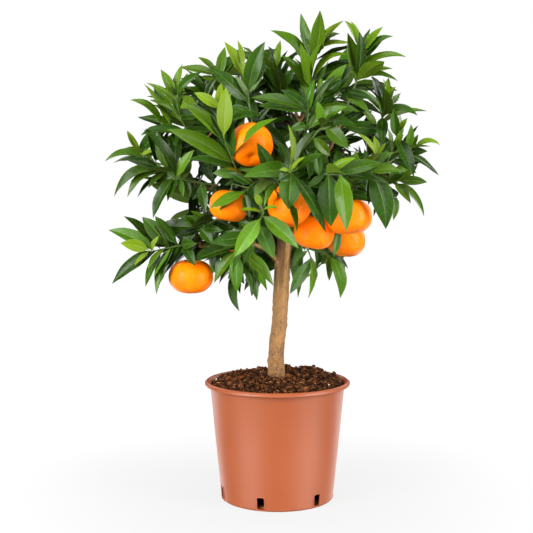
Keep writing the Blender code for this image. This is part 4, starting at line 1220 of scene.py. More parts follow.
    def grow_towards(self, root: Vector, spot: tuple[float, float], shown_mm: float) -> BladePose | None:
        """Try to grow a leaf from a place on a stem so that it shows at a spot of the front view.

        Args:
            root: Where it grows, in metres.
            spot: The seen x and z in millimetres.
            shown_mm: The width that the leaf shows from the front.

        Returns:
            The leaf, or None if there is no room.
        """
        target = from_front_view(*spot, root.y / MM + self.chance.uniform(-22.0, 22.0))
        length = (target - root).length / self.chance.uniform(0.45, 0.62)
        shortest, longest = self.cover_lengths
        if not shortest < length < longest:
            return None
        tip = root + (target - root).normalized() * length
        if not self.runs_inside(root, tip, 0.97):
            return None
        up = Vector((0.0, -0.6, 0.8))
        pose = BladePose(root, (root + tip) * 0.5, tip, up, length * self.width_share)
        pose.show_width(min(shown_mm * MM, pose.width))
        pose.control = pose.control + pose.up * (0.16 * length)
        return pose if self.add_if_clear(pose) else None


@dataclass
class Spray:
    """One leafy spray or young shoot: its green stems, and its leaves as fine blades."""

    node: str
    leaf_material: bpy.types.Material
    stem_material: bpy.types.Material
    slot: str
    young: bool
    stem_voxel: float = 0.00042
    stem_faces_kept: float = 0.3
    sag: float = 0.045
    poses: list[BladePose] = field(default_factory=list)
    stems: bpy.types.Object | None = None

    def read(self, reader: BladeReader) -> None:
        """Read the leaves back from the solid and keep what is left of it as stems.

        Args:
            reader: What finds the leaves.
        """
        stems = merged_copy(self.node, self.node + "_stems")
        work = bmesh.new()
        work.from_mesh(stems.data)
        self.poses, owned = reader.read(work)
        bmesh.ops.delete(work, geom=list(owned), context="VERTS")
        loose = [edge for edge in work.edges if edge.is_boundary]
        bmesh.ops.holes_fill(work, edges=loose, sides=0)
        bmesh.ops.triangulate(work, faces=work.faces)
        work.to_mesh(stems.data)
        work.free()
        self.stems = stems

    def round_stems(self) -> None:
        """Give the stems their round section."""
        remesh = self.stems.modifiers.new("even skin", "REMESH")
        remesh.mode = "VOXEL"
        remesh.voxel_size = self.stem_voxel
        soften = self.stems.modifiers.new("soften", "SMOOTH")
        soften.factor = 0.6
        soften.iterations = 5
        fewer = self.stems.modifiers.new("fewer faces", "DECIMATE")
        fewer.ratio = self.stem_faces_kept
        apply_modifiers(self.stems)
        self.stems.data.materials.append(self.stem_material)
        self.stems.data.shade_smooth()

    def age_leaves(self, chance: random.Random) -> None:
        """Give every leaf its own tone, and the ones of the last flush their fresh colour.

        Args:
            chance: The seeded draw.
        """
        for pose in self.poses:
            pose.tone = chance.uniform(0.0, 1.0) ** 1.4
            x, z = to_front_view(pose.tip / MM)
            pose.fresh = chance.uniform(0.9, 1.0) if self.young else 0.4 * chance.random() ** 2.5
            for tip_x, tip_z, fresh in FRESH_TIPS_MM:
                if math.hypot(x - tip_x, z - tip_z) < FRESH_MATCH_MM:
                    pose.fresh = fresh

    def settle_leaves(self) -> None:
        """Arch every leaf under its weight, and turn and arch the listed ones as the front view shows."""
        for pose in self.poses:
            chord = pose.tip - pose.root
            level = math.hypot(chord.x, chord.y) / chord.length
            pose.bow(0.0, self.sag * chord.length * level * (1.0 - abs(pose.up.z)))
            x, z = to_front_view(pose.tip / MM)
            for tip_x, tip_z, shown in TURNED_TIPS_MM:
                if math.hypot(x - tip_x, z - tip_z) < TURN_MATCH_MM:
                    pose.show_width(shown * MM)
            for tip_x, tip_z, push_x, push_z in BOWED_TIPS_MM:
                if math.hypot(x - tip_x, z - tip_z) < BOW_MATCH_MM:
                    pose.bow(push_x * MM, push_z * MM)

    def build(self, blade: LeafBlade, chance: random.Random) -> bpy.types.Object:
        """Make the piece.

        Args:
            blade: The leaf that is copied.
            chance: The seeded draw.

        Returns:
            The finished object.
        """
        corners = np.vstack([blade.bend(pose, chance) for pose in self.poses])
        count = len(blade.template)
        faces = repeat_faces(blade.faces, count, len(self.poses))
        leaves = mesh_object(self.node + "_leaves", corners, faces)
        mesh = leaves.data
        uv_map = mesh.uv_layers.new(name="UVMap")
        uv_map.data.foreach_set("uv", np.tile(blade.corner_uv, (len(self.poses), 1)).ravel())
        own = mesh.color_attributes.new("leaf", "FLOAT_COLOR", "CORNER")
        values = np.ones((len(self.poses), len(blade.corner_under), 4))
        for number, pose in enumerate(self.poses):
            values[number, :, 0] = pose.tone
            values[number, :, 1] = pose.fresh
            values[number, :, 2] = blade.corner_under
        own.data.foreach_set("color", values.ravel())
        mesh.shade_smooth()
        sharp = [False] * len(mesh.edges)
        for edge in mesh.edges:
            place = blade.template[edge.vertices[0] % count], blade.template[edge.vertices[1] % count]
            is_margin = all(abs(row[0]) > 0.99 or abs(row[1]) > 0.99 for row in place)
            sharp[edge.index] = is_margin or all(abs(row[0]) < 0.01 for row in place)
        mesh.edges.foreach_set("use_edge_sharp", sharp)
        mesh.materials.append(self.leaf_material)
        mesh.update()
        piece = join_pieces([leaves, self.stems], self.node + "_fine")
        settle_piece(piece, [self.node])
        return piece


@dataclass
class Trunk:
    """The brown wood: one grown body of trunk, limbs and twigs, with its bark relief."""

    material: bpy.types.Material
    voxel: float = 0.00115
    faces_kept: float = 0.5
    relief: float = 0.0004
    swell: float = 0.0008
    radius_mm: float = 11.0
    knots_up_to_mm: float = 330.0
    node: str = "trunk"
    # Old leaf scars: degrees from the front towards the right, height, radius and how far they stand out.
    knots: tuple[tuple[float, float, float, float], ...] = (
        (-96.0, 189.0, 5.0, 1.2), (-88.0, 262.0, 4.5, 1.2), (80.0, 239.0, 4.0, 1.1),
        (-92.0, 249.0, 3.5, 0.9), (20.0, 214.0, 4.0, 0.9), (-35.0, 286.0, 4.5, 1.0),
        (150.0, 225.0, 5.0, 1.4), (95.0, 303.0, 4.5, 1.2), (-170.0, 278.0, 5.0, 1.3),
        (55.0, 183.0, 4.0, 0.9), (-15.0, 252.0, 3.0, 0.8),
    )

    def build(self) -> bpy.types.Object:
        """Make the piece.

        Returns:
            The finished object.
        """
        piece = merged_copy(self.node, "trunk_bark")
        remesh = piece.modifiers.new("even skin", "REMESH")
        remesh.mode = "VOXEL"
        remesh.voxel_size = self.voxel
        soften = piece.modifiers.new("soften", "SMOOTH")
        soften.factor = 0.6
        soften.iterations = 6
        apply_modifiers(piece)
        normals = [vert.normal.copy() for vert in piece.data.vertices]
        for vert, normal in zip(piece.data.vertices, normals):
            spot = vert.co / MM
            stretched = Vector((spot.x * 0.34, spot.y * 0.34, spot.z * 0.16))
            rough = noise.fractal(stretched, 0.9, 2.0, 3)
            broad = noise.noise(spot * 0.045)
            share = 1.0 if spot.z < 340.0 else 0.35
            rise = share * (self.relief * rough + self.swell * broad) + self.knot_rise(spot, normal)
            vert.co += normal * rise
        fewer = piece.modifiers.new("fewer faces", "DECIMATE")
        fewer.ratio = self.faces_kept
        apply_modifiers(piece)
        piece.data.shade_smooth()
        piece.data.materials.append(self.material)
        settle_piece(piece, [self.node])
        return piece

    def knot_rise(self, spot: Vector, normal: Vector) -> float:
        """Give how far the knots lift the bark at a place.

        Args:
            spot: The place in millimetres.
            normal: Which way the bark faces there.

        Returns:
            The lift in metres.
        """
        if spot.z > self.knots_up_to_mm:
            return 0.0
        rise = 0.0
        for angle, level, radius, height in self.knots:
            if abs(spot.z - level) > 3.0 * radius:
                continue
            turn = math.atan2(normal.x, -normal.y) - math.radians(angle)
            around = self.radius_mm * ((turn + math.pi) % (2.0 * math.pi) - math.pi)
            rise += height * math.exp(-(around ** 2 + (spot.z - level) ** 2) / radius ** 2 * 1.6)
        return rise * MM


@dataclass
class Mandarin:
    """One fruit: a flattened globe, dimpled at both ends and faintly furrowed round the stalk."""

    node: str
    peel: bpy.types.Material
    calyx: bpy.types.Material
    segments: int = 72
    rings: int = 48
    ring_share: float = 0.9749
    pole_share: float = 0.86
    squareness: float = 2.22
    stalk_dip: tuple[float, float] = (0.20, 0.23)
    blossom_dip: tuple[float, float] = (0.17, 0.17)
    centre: Vector = field(default_factory=Vector)
    pole: Vector = field(default_factory=Vector)
    half_width: float = 0.0
    half_height: float = 0.0

    def measure(self) -> None:
        """Read the fruit's place, axis and size from its solid."""
        solid = merged_copy(self.node, self.node + "_solid")
        work = bmesh.new()
        work.from_mesh(solid.data)
        poles = sorted(work.verts, key=lambda vert: -len(vert.link_edges))[:2]
        poles.sort(key=lambda vert: vert.co.z)
        low, high = (vert.co.copy() for vert in poles)
        self.centre = (low + high) * 0.5
        self.pole = (high - low).normalized()
        widest = 0.0
        for vert in work.verts:
            gap = vert.co - self.centre
            widest = max(widest, (gap - self.pole * gap.dot(self.pole)).length)
        work.free()
        self.half_width = widest / self.ring_share
        self.half_height = (high - low).length * 0.5 / self.pole_share
        bpy.data.objects.remove(solid)

    def build(self, chance: random.Random) -> bpy.types.Object:
        """Make the piece.

        Args:
            chance: The seeded draw.

        Returns:
            The finished object.
        """
        self.measure()
        deselect_all()
        bpy.ops.mesh.primitive_uv_sphere_add(segments=self.segments, ring_count=self.rings, radius=1.0)
        fruit = bpy.context.object
        fruit.name = self.node + "_peel"
        mesh = fruit.data
        offset = Vector((chance.uniform(0, 50), chance.uniform(0, 50), chance.uniform(0, 50)))
        furrows = chance.choice((8, 9, 10))
        scars = []
        for vert in mesh.vertices:
            flat = math.hypot(vert.co.x, vert.co.y)
            turn = math.atan2(vert.co.y, vert.co.x)
            above = vert.co.z > 0.0
            fullness = flat ** self.squareness + abs(vert.co.z) ** self.squareness
            fullness = fullness ** (-1.0 / self.squareness)
            depth, wide = self.stalk_dip if above else self.blossom_dip
            dip = depth * math.exp(-(flat / wide) ** 2)
            shoulder = 1.0 - 0.10 * math.exp(-(flat / 0.5) ** 2)
            high = vert.co.z * shoulder - math.copysign(dip, vert.co.z)
            groove = 0.018 * math.sin(furrows * turn) * math.exp(-((flat - 0.32) / 0.22) ** 2)
            lump = 0.016 * noise.noise(vert.co * 2.2 + offset)
            lump += 0.006 * noise.noise(vert.co * 7.0 + offset)
            swell = fullness * (1.0 + lump + (groove if above else groove * 0.4))
            vert.co = Vector((
                vert.co.x * self.half_width * swell, vert.co.y * self.half_width * swell,
                high * self.half_height * swell,
            ))
            scars.append(max(0.0, 1.0 - flat / (0.085 if above else 0.055)) ** 0.5)
        own = mesh.attributes.new("scar", "FLOAT", "POINT")
        own.data.foreach_set("value", scars)
        mesh.shade_smooth()
        mesh.materials.append(self.peel)
        star = self.build_calyx(chance)
        turn = Vector((0, 0, 1)).rotation_difference(self.pole).to_matrix().to_4x4()
        place = Matrix.Translation(self.centre) @ turn
        mesh.transform(place)
        star.data.transform(place)
        settle_piece(star, [])
        settle_piece(fruit, [self.node])
        return fruit

    def build_calyx(self, chance: random.Random) -> bpy.types.Object:
        """Make the five-lobed green star under the stalk.

        Args:
            chance: The seeded draw.

        Returns:
            The star, still at the fruit's own origin.
        """
        deselect_all()
        bpy.ops.mesh.primitive_circle_add(vertices=20, radius=0.0046, fill_type="NGON")
        star = bpy.context.object
        star.name = self.node + "_calyx"
        for vert in star.data.vertices:
            lobe = 0.5 + 0.5 * math.cos(5.0 * math.atan2(vert.co.y, vert.co.x))
            vert.co *= 0.55 + 0.5 * lobe + chance.uniform(-0.04, 0.04)
        bpy.ops.object.mode_set(mode="EDIT")
        bpy.ops.mesh.select_all(action="SELECT")
        bpy.ops.mesh.extrude_region_move(TRANSFORM_OT_translate={"value": (0.0, 0.0, 0.0007)})
        bpy.ops.mesh.inset(thickness=0.0011, depth=0.0005)
        bpy.ops.mesh.select_all(action="SELECT")
        bpy.ops.mesh.normals_make_consistent(inside=False)
        bpy.ops.object.mode_set(mode="OBJECT")
        seat = self.half_height * 0.725
        depth, wide = self.stalk_dip
        for vert in star.data.vertices:
            flat = math.hypot(vert.co.x, vert.co.y) / self.half_width
            vert.co.z += seat + self.half_height * depth * (1.0 - math.exp(-(flat / wide) ** 2)) - 0.0001
        star.data.shade_smooth()
        star.data.materials.append(self.calyx)
        return star


@dataclass
class Pot:
    """The round tapered container: rolled lip, plain wall and six drainage slots by its foot."""

    material: bpy.types.Material
    sides: int = 144
    foot_radius_mm: float = 77.5
    neck_radius_mm: float = 92.5
    rim_radius_mm: float = 100.0
    height_mm: float = 163.0
    wall_rise_mm: float = 154.0
    wall_mm: float = 2.6
    floor_mm: float = 4.0
    slot_degrees: tuple[float, ...] = (-73.0, -16.9, 41.6, 102.0, 162.0, 222.0)
    slot_size_mm: tuple[float, float, float] = (14.0, 9.8, 16.0)
    slot_bottom_mm: float = 2.7
    frame_margin_mm: float = 1.5
    frame_height_mm: float = 0.4
    slot_wall_mm: float = 0.8

    def profile(self) -> list[tuple[float, float]]:
        """Give each step's radius and height, from the foot up outside, over the lip and down inside."""
        foot, neck, rim = self.foot_radius_mm, self.neck_radius_mm, self.rim_radius_mm
        inner = neck - self.wall_mm
        return [
            (foot - 0.35, 0.5), (foot + 0.4, 1.5), (foot + 0.5, 3.0), (foot + 0.1, 3.4), (foot + 7.4, 77.0),
            (neck - 0.1, 155.6), (neck + 0.4, 156.6), (neck + 1.2, 157.0), (rim - 1.6, 157.2),
            (rim - 0.6, 157.5), (rim - 0.1, 158.1), (rim, 158.9), (rim - 0.05, 160.3), (rim - 0.3, 160.9),
            (rim - 0.9, 161.2), (rim - 1.5, 161.3), (rim - 1.8, 161.9), (rim - 2.6, 162.7),
            (rim - 3.8, self.height_mm), (rim - 4.9, 162.7), (rim - 5.7, 161.8), (inner + 2.4, 159.0),
            (inner + 0.4, 155.0), (inner - 0.2, 150.0), (foot - self.wall_mm + 0.4, self.floor_mm),
        ]

    def build(self) -> bpy.types.Object:
        """Make the piece.

        Returns:
            The finished object.
        """
        deselect_all()
        steps = self.profile()
        first_radius = self.foot_radius_mm - 1.0
        bpy.ops.mesh.primitive_cylinder_add(
            vertices=self.sides, radius=first_radius * MM, depth=steps[0][1] * MM,
            location=(0.0, 0.0, steps[0][1] * 0.5 * MM),
        )
        pot = bpy.context.object
        pot.name = "pot_plastic"
        apply_place(pot)
        bpy.ops.object.mode_set(mode="EDIT")
        work = bmesh.from_edit_mesh(pot.data)
        for face in work.faces:
            face.select_set(face.normal.z > 0.9)
        bmesh.update_edit_mesh(pot.data)
        radius, level = first_radius, steps[0][1]
        for index, (next_radius, next_level) in enumerate(steps):
            if index > 0:
                rise = (next_level - level) * MM
                bpy.ops.mesh.extrude_region_move(TRANSFORM_OT_translate={"value": (0.0, 0.0, rise)})
            share = next_radius / radius
            bpy.ops.transform.resize(value=(share, share, 1.0), center_override=(0.0, 0.0, next_level * MM))
            radius, level = next_radius, next_level
        bpy.ops.mesh.select_all(action="SELECT")
        bpy.ops.mesh.normals_make_consistent(inside=False)
        bpy.ops.object.mode_set(mode="OBJECT")
        self.cut_slots(pot)
        make_active(pot)
        bpy.ops.object.shade_smooth_by_angle(angle=math.radians(35.0))
        pot.data.materials.append(self.material)
        settle_piece(pot, ["pot"])
        return pot

    def cut_slots(self, pot: bpy.types.Object) -> None:
        """Raise a thin moulded frame at each drainage slot, and cut the slot through it.

        Args:
            pot: The pot's wall.
        """
        deep, wide, tall = self.slot_size_mm
        margin = self.frame_margin_mm
        middle = self.slot_bottom_mm + tall * 0.5
        slope = math.atan2(self.neck_radius_mm - self.foot_radius_mm, self.wall_rise_mm)
        for degrees in self.slot_degrees:
            angle = math.radians(degrees - 90.0)
            face = self.foot_radius_mm + self.frame_height_mm + middle * math.tan(slope)
            pad_tall = self.slot_bottom_mm + tall + margin - 0.6
            pad = self.slot_block((4.0, wide + 2.0 * margin, pad_tall), 0.3)
            self.place_block(pad, face - 2.0, 0.6 + pad_tall * 0.5, angle, slope)
            self.combine(pot, pad, Change.ADD)
            cutter = self.slot_block((deep, wide, tall), 1.6)
            self.place_block(cutter, self.foot_radius_mm, middle, angle, 0.0)
            self.combine(pot, cutter, Change.CUT)
            # Inside, the wall is thinner round the slot.
            recess = self.slot_block((deep, wide + 5.0, tall + 1.0), 0.8)
            recess_radius = face - self.frame_height_mm - self.slot_wall_mm - 0.5 * deep
            self.place_block(recess, recess_radius, middle + 2.2, angle, slope)
            self.combine(pot, recess, Change.CUT)

    def slot_block(self, size_mm: tuple[float, float, float], rounding_mm: float) -> bpy.types.Object:
        """Make a block with rounded edges.

        Args:
            size_mm: Its depth, width and height.
            rounding_mm: The radius of its edges.

        Returns:
            The block at the origin.
        """
        deselect_all()
        bpy.ops.mesh.primitive_cube_add(size=1.0)
        block = bpy.context.object
        block.scale = [size * MM for size in size_mm]
        apply_place(block)
        round_off = block.modifiers.new("rounded", "BEVEL")
        round_off.width = rounding_mm * MM
        round_off.segments = 3
        apply_modifiers(block)
        return block

    def place_block(
        self, block: bpy.types.Object, radius: float, level: float, angle: float, lean: float,
    ) -> None:
        """Put a block at the pot's wall.

        Args:
            block: The block.
            radius: How far from the pot's middle, in mm.
            level: Its middle's height in mm.
            angle: Which way round the pot.
            lean: How far it leans with the wall.
        """
        block.location = (radius * MM * math.cos(angle), radius * MM * math.sin(angle), level * MM)
        block.rotation_euler = (Matrix.Rotation(angle, 3, "Z") @ Matrix.Rotation(lean, 3, "Y")).to_euler()
        apply_place(block)

    def combine(self, pot: bpy.types.Object, block: bpy.types.Object, change: Change) -> None:
        """Add a block to the pot, or cut it away, and remove the block.

        Args:
            pot: The pot's wall.
            block: The block.
            change: What the block does.
        """
        modifier = pot.modifiers.new("slot", "BOOLEAN")
        modifier.operation = change.value
        modifier.solver = Solver.EXACT.value
        modifier.object = block
        apply_modifiers(pot)
        bpy.data.objects.remove(block)


@dataclass
class Soil:
    """The potting mix: a rough mound that fills the pot, with crumbs, shreds and pale flecks on it."""

    material: bpy.types.Material
    fleck_material: bpy.types.Material
    cells: int = 130
    radius_mm: float = 89.4
    edge_level_mm: float = 160.2
    crown_level_mm: float = 167.0
    bare_radius_mm: float = 11.5
    skirt_mm: tuple[tuple[float, float], ...] = ((88.6, 148.0), (77.6, 38.0), (66.0, 24.0), (63.0, 4.6))
    crumbs: int = 1250
    shreds: int = 700
    flecks: int = 34

    def level_mm(self, x: float, y: float) -> float:
        """Give the height of the mound at a place, all in millimetres."""
        flat = min(1.0, math.hypot(x, y) / self.radius_mm)
        edge = self.edge_level_mm + 3.2 * y / self.radius_mm + 1.6 * x / self.radius_mm
        mound = edge + (self.crown_level_mm - edge) * (1.0 - flat ** 2.4)
        heap = 7.0 * math.exp(-((x - 46.0) ** 2 + (y - 56.0) ** 2) / 1100.0)
        dip = 2.6 * math.exp(-((x + 40.0) ** 2 + (y - 40.0) ** 2) / 900.0)
        spot = Vector((x, y, 0.0))
        layers = ((1.5, 0.07), (3.4, 0.17), (2.4, 0.4))
        rough = sum(height * noise.noise(spot * scale) for height, scale in layers)
        return mound + (heap - dip) * (1.0 - flat ** 4) + rough * (1.0 - 0.5 * flat ** 6)

    def build_mound(self) -> bpy.types.Object:
        """Make the mound as a closed body that fills the pot's inside.

        Returns:
            The mound.
        """
        deselect_all()
        size = 2.0 * self.radius_mm * MM
        bpy.ops.mesh.primitive_grid_add(x_subdivisions=self.cells, y_subdivisions=self.cells, size=size)
        mound = bpy.context.object
        for vert in mound.data.vertices:
            x, y = vert.co.x / MM, vert.co.y / MM
            square = max(abs(x), abs(y))
            flat = math.hypot(x, y)
            if flat > 0.0:
                x, y = x * square / flat, y * square / flat
            vert.co = Vector((x, y, self.level_mm(x, y))) * MM
        bpy.ops.object.mode_set(mode="EDIT")
        bpy.ops.mesh.select_all(action="SELECT")
        bpy.ops.mesh.region_to_loop()
        for radius, level in self.skirt_mm:
            bpy.ops.mesh.extrude_edges_move()
            work = bmesh.from_edit_mesh(mound.data)
            for vert in work.verts:
                if vert.select:
                    share = radius * MM / vert.co.xy.length
                    vert.co = Vector((vert.co.x * share, vert.co.y * share, level * MM))
            bmesh.update_edit_mesh(mound.data)
        bpy.ops.mesh.edge_face_add()
        bpy.ops.mesh.select_all(action="SELECT")
        bpy.ops.mesh.normals_make_consistent(inside=False)
        bpy.ops.object.mode_set(mode="OBJECT")
        mound.data.shade_smooth()
        mound.data.materials.append(self.material)
        mound.data.materials.append(self.fleck_material)
        own = mound.data.attributes.new("tone", "FLOAT", "POINT")
        own.data.foreach_set("value", [0.0] * len(mound.data.vertices))
        return mound

    def scatter(self, chance: random.Random) -> bpy.types.Object:
        """Make the loose bits that lie on the mound.

        Args:
            chance: The seeded draw.

        Returns:
            One object that holds them all.
        """
        deselect_all()
        bpy.ops.mesh.primitive_ico_sphere_add(subdivisions=1, radius=1.0)
        crumb = bpy.context.object
        shape = corner_array(crumb.data)
        faces = face_lists(crumb.data)
        bpy.data.objects.remove(crumb)
        corners: list[np.ndarray] = []
        tones: list[float] = []
        kinds: list[int] = []
        total = self.crumbs + self.shreds + self.flecks
        for number in range(total):
            flat = math.sqrt(chance.uniform((self.bare_radius_mm / self.radius_mm) ** 2, 0.97))
            turn = chance.uniform(0.0, 2.0 * math.pi)
            x, y = flat * self.radius_mm * math.cos(turn), flat * self.radius_mm * math.sin(turn)
            if number < self.crumbs:
                size = chance.uniform(0.9, 2.8) * (1.9 if chance.random() < 0.14 else 1.0)
                scale = (size, size * chance.uniform(0.5, 1.0), size * chance.uniform(0.45, 0.9))
                tone = chance.uniform(0.0, 0.5)
                kind = 0
            elif number < self.crumbs + self.shreds:
                length = chance.uniform(2.0, 6.5)
                scale = (length, chance.uniform(0.25, 0.8), chance.uniform(0.2, 0.5))
                tone = chance.uniform(0.1, 0.9)
                kind = 0
            else:
                size = chance.uniform(0.5, 1.3) * (1.5 if chance.random() < 0.15 else 1.0)
                scale = (size, size * 0.85, size * 0.8)
                tone = 1.0
                kind = 1
            jitter = np.array([[chance.uniform(0.78, 1.2)] for _ in shape])
            lean = 0.9 if chance.random() < 0.3 else 0.45
            turns = (chance.uniform(-lean, lean), chance.uniform(-lean, lean), chance.uniform(0, 6.3))
            bit = (shape * jitter * np.array(scale)) @ np.array(Euler(turns).to_matrix()).T
            bit += np.array((x, y, self.level_mm(x, y) + scale[2] * chance.uniform(0.1, 1.2)))
            corners.append(bit * MM)
            tones.append(tone)
            kinds.append(kind)
        bits = mesh_object("soil_bits", np.vstack(corners), repeat_faces(faces, len(shape), total))
        mesh = bits.data
        mesh.materials.append(self.material)
        mesh.materials.append(self.fleck_material)
        mesh.polygons.foreach_set("material_index", np.repeat(kinds, len(faces)))
        own = mesh.attributes.new("tone", "FLOAT", "POINT")
        own.data.foreach_set("value", np.repeat(tones, len(shape)))
        return bits

    def build(self, chance: random.Random) -> bpy.types.Object:
        """Make the piece.

        Args:
            chance: The seeded draw.

        Returns:
            The finished object.
        """
        soil = join_pieces([self.build_mound(), self.scatter(chance)], "soil_mix")
        settle_piece(soil, ["soil"])
        return soil


@dataclass
class Crown:
    """All the leafy sprays and young shoots, and the further leaves that fill the inside of the crown."""

    mature: bpy.types.Material
    young: bpy.types.Material
    stem: bpy.types.Material
    young_stem: bpy.types.Material
    spray_extras: float = 0.9
    inner_leaves: int = 520
    gap_tries: int = 90
    gap_leaves: int = 2

    def build(self, chance: random.Random) -> None:
        """Make every spray and shoot.

        Args:
            chance: The seeded draw.
        """
        blade = LeafBlade()
        blade.model()
        reader = BladeReader()
        foliage = Foliage(chance, blade)
        for node in sorted(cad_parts):
            if node.startswith("mandarin_"):
                foliage.add_fruit(node)
        foliage.add_solid("trunk")
        sprays: list[Spray] = []
        for node in sorted(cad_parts):
            if not node.startswith(("spray_", "young_")):
                continue
            is_young = node.startswith("young_")
            spray = Spray(
                node, self.young if is_young else self.mature, self.young_stem if is_young else self.stem,
                "young_leaf" if is_young else "mature_leaf", is_young,
            )
            spray.read(reader)
            spray.age_leaves(chance)
            spray.settle_leaves()
            sprays.append(spray)
        poses = [pose for spray in sprays for pose in spray.poses]
        LOG.info("leaves read from the solids: %d", len(poses))
        foliage.learn_outline(poses)
        for pose in poses:
            foliage.add(blade.bend(pose, random.Random(1)), blade.faces)
        self.add_shown_leaves(sprays, foliage)
        added = self.add_spray_leaves(sprays, foliage, chance)
        LOG.info("leaves added to the sprays: %d", added)
        self.close_gaps(sprays, foliage, chance)
        self.add_inner_leaves(sprays, foliage, chance)
        for spray in sprays:
            spray.round_stems()
            spray.build(blade, chance)

    def add_shown_leaves(self, sprays: list[Spray], foliage: Foliage) -> None:
        """Add the listed leaves of the photographed side.

        Args:
            sprays: The sprays.
            foliage: What finds room.
        """
        mature = [spray for spray in sprays if not spray.young]
        roots = [pose.root.copy() for spray in mature for pose in spray.poses]
        placed = 0
        for row in SHOWN_LEAVES_MM:
            pose = foliage.place_shown(roots, row)
            if pose is None:
                continue
            pose.tone = 0.15
            gaps = [min((other.root - pose.root).length for other in spray.poses) for spray in mature]
            mature[gaps.index(min(gaps))].poses.append(pose)
            placed += 1
        LOG.info("listed leaves placed: %d of %d", placed, len(SHOWN_LEAVES_MM))

    def add_spray_leaves(self, sprays: list[Spray], foliage: Foliage, chance: random.Random) -> int:
        """Add leaves between those that the sprays have.

        Args:
            sprays: The sprays.
            foliage: What finds room.
            chance: The seeded draw.

        Returns:
            How many were added.
        """
        added = 0
        for spray in sprays:
            if spray.young:
                continue
            roots = [pose.root.copy() for pose in spray.poses]
            pairs = [
                (first, second) for index, first in enumerate(roots) for second in roots[index + 1:]
                if 0.003 < (first - second).length < 0.024
            ]
            if not pairs:
                continue
            wanted = round(len(spray.poses) * self.spray_extras)
            for _ in range(wanted):
                first, second = chance.choice(pairs)
                flow = (second - first).normalized()
                if flow.dot(first - CROWN_HEART_MM * MM) < 0.0:
                    flow = -flow
                root = first.lerp(second, chance.uniform(0.2, 0.8))
                pose = foliage.grow(root, flow, (42.0, 76.0), 0.93)
                if pose:
                    pose.tone = chance.uniform(0.0, 0.7) ** 1.4
                    spray.poses.append(pose)
                    added += 1
        return added

    def close_gaps(self, sprays: list[Spray], foliage: Foliage, chance: random.Random) -> None:
        """Grow leaves behind the thin places of the crown, from the stems and twigs nearby.

        Args:
            sprays: The sprays.
            foliage: What finds room.
            chance: The seeded draw.
        """
        mature = [spray for spray in sprays if not spray.young]
        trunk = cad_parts["trunk"].data
        wood = [vert.co.copy() for vert in trunk.vertices if vert.co.z > TWIGS_FROM]
        roots = [pose.root.copy() for spray in mature for pose in spray.poses] + wood
        seen = [to_front_view(root / MM) for root in roots]
        closed = 0
        wanted = [(spot, math.inf) for spot in GAP_SPOTS_MM]
        wanted += [(spot, COVER_DEEPEST_MM * MM) for spot in COVER_SPOTS_MM]
        for spot, deepest in wanted:
            near = [
                root for root, (x, z) in zip(roots, seen)
                if 9.0 < math.hypot(x - spot[0], z - spot[1]) < 46.0 and root.y < deepest
            ]
            grown = 0
            for _ in range(self.gap_tries if near else 0):
                pose = foliage.grow_towards(chance.choice(near), spot, chance.uniform(9.0, 22.0))
                if pose is None:
                    continue
                pose.tone = chance.uniform(0.0, 0.6)
                self.add_to_nearest(mature, pose)
                grown += 1
                if grown == self.gap_leaves:
                    break
            closed += grown
        LOG.info("leaves behind thin places: %d", closed)

    def add_inner_leaves(self, sprays: list[Spray], foliage: Foliage, chance: random.Random) -> None:
        """Add older leaves straight from the twigs inside the crown, to the nearest spray's piece.

        Args:
            sprays: The sprays.
            foliage: What finds room.
            chance: The seeded draw.
        """
        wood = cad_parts["trunk"].data
        faces = [face for face in wood.polygons if face.center.z > TWIGS_FROM]
        areas = [face.area for face in faces]
        mature = [spray for spray in sprays if not spray.young]
        added = 0
        for face in chance.choices(faces, areas, k=self.inner_leaves * 4):
            corners = [wood.vertices[index].co for index in face.vertices]
            shares = sorted((chance.random(), chance.random()))
            spot = corners[0].lerp(corners[1], shares[0]).lerp(corners[2], 1.0 - shares[1])
            root = spot - face.normal * 0.0012
            side = face.normal.cross(Vector((0, 0, 1)))
            flow = (face.normal + side * 0.2).normalized()
            pose = foliage.grow(root, flow, (38.0, 70.0), 0.86)
            if not pose:
                continue
            pose.tone = chance.uniform(0.0, 0.3)
            self.add_to_nearest(mature, pose)
            added += 1
            if added >= self.inner_leaves:
                break
        LOG.info("leaves added on the twigs: %d", added)

    def add_to_nearest(self, sprays: list[Spray], pose: BladePose) -> None:
        """Give a leaf to the spray that starts nearest to it.

        Args:
            sprays: The sprays to choose from.
            pose: The leaf.
        """
        nearest = min(sprays, key=lambda spray: (spray.poses[0].root - pose.root).length)
        nearest.poses.append(pose)


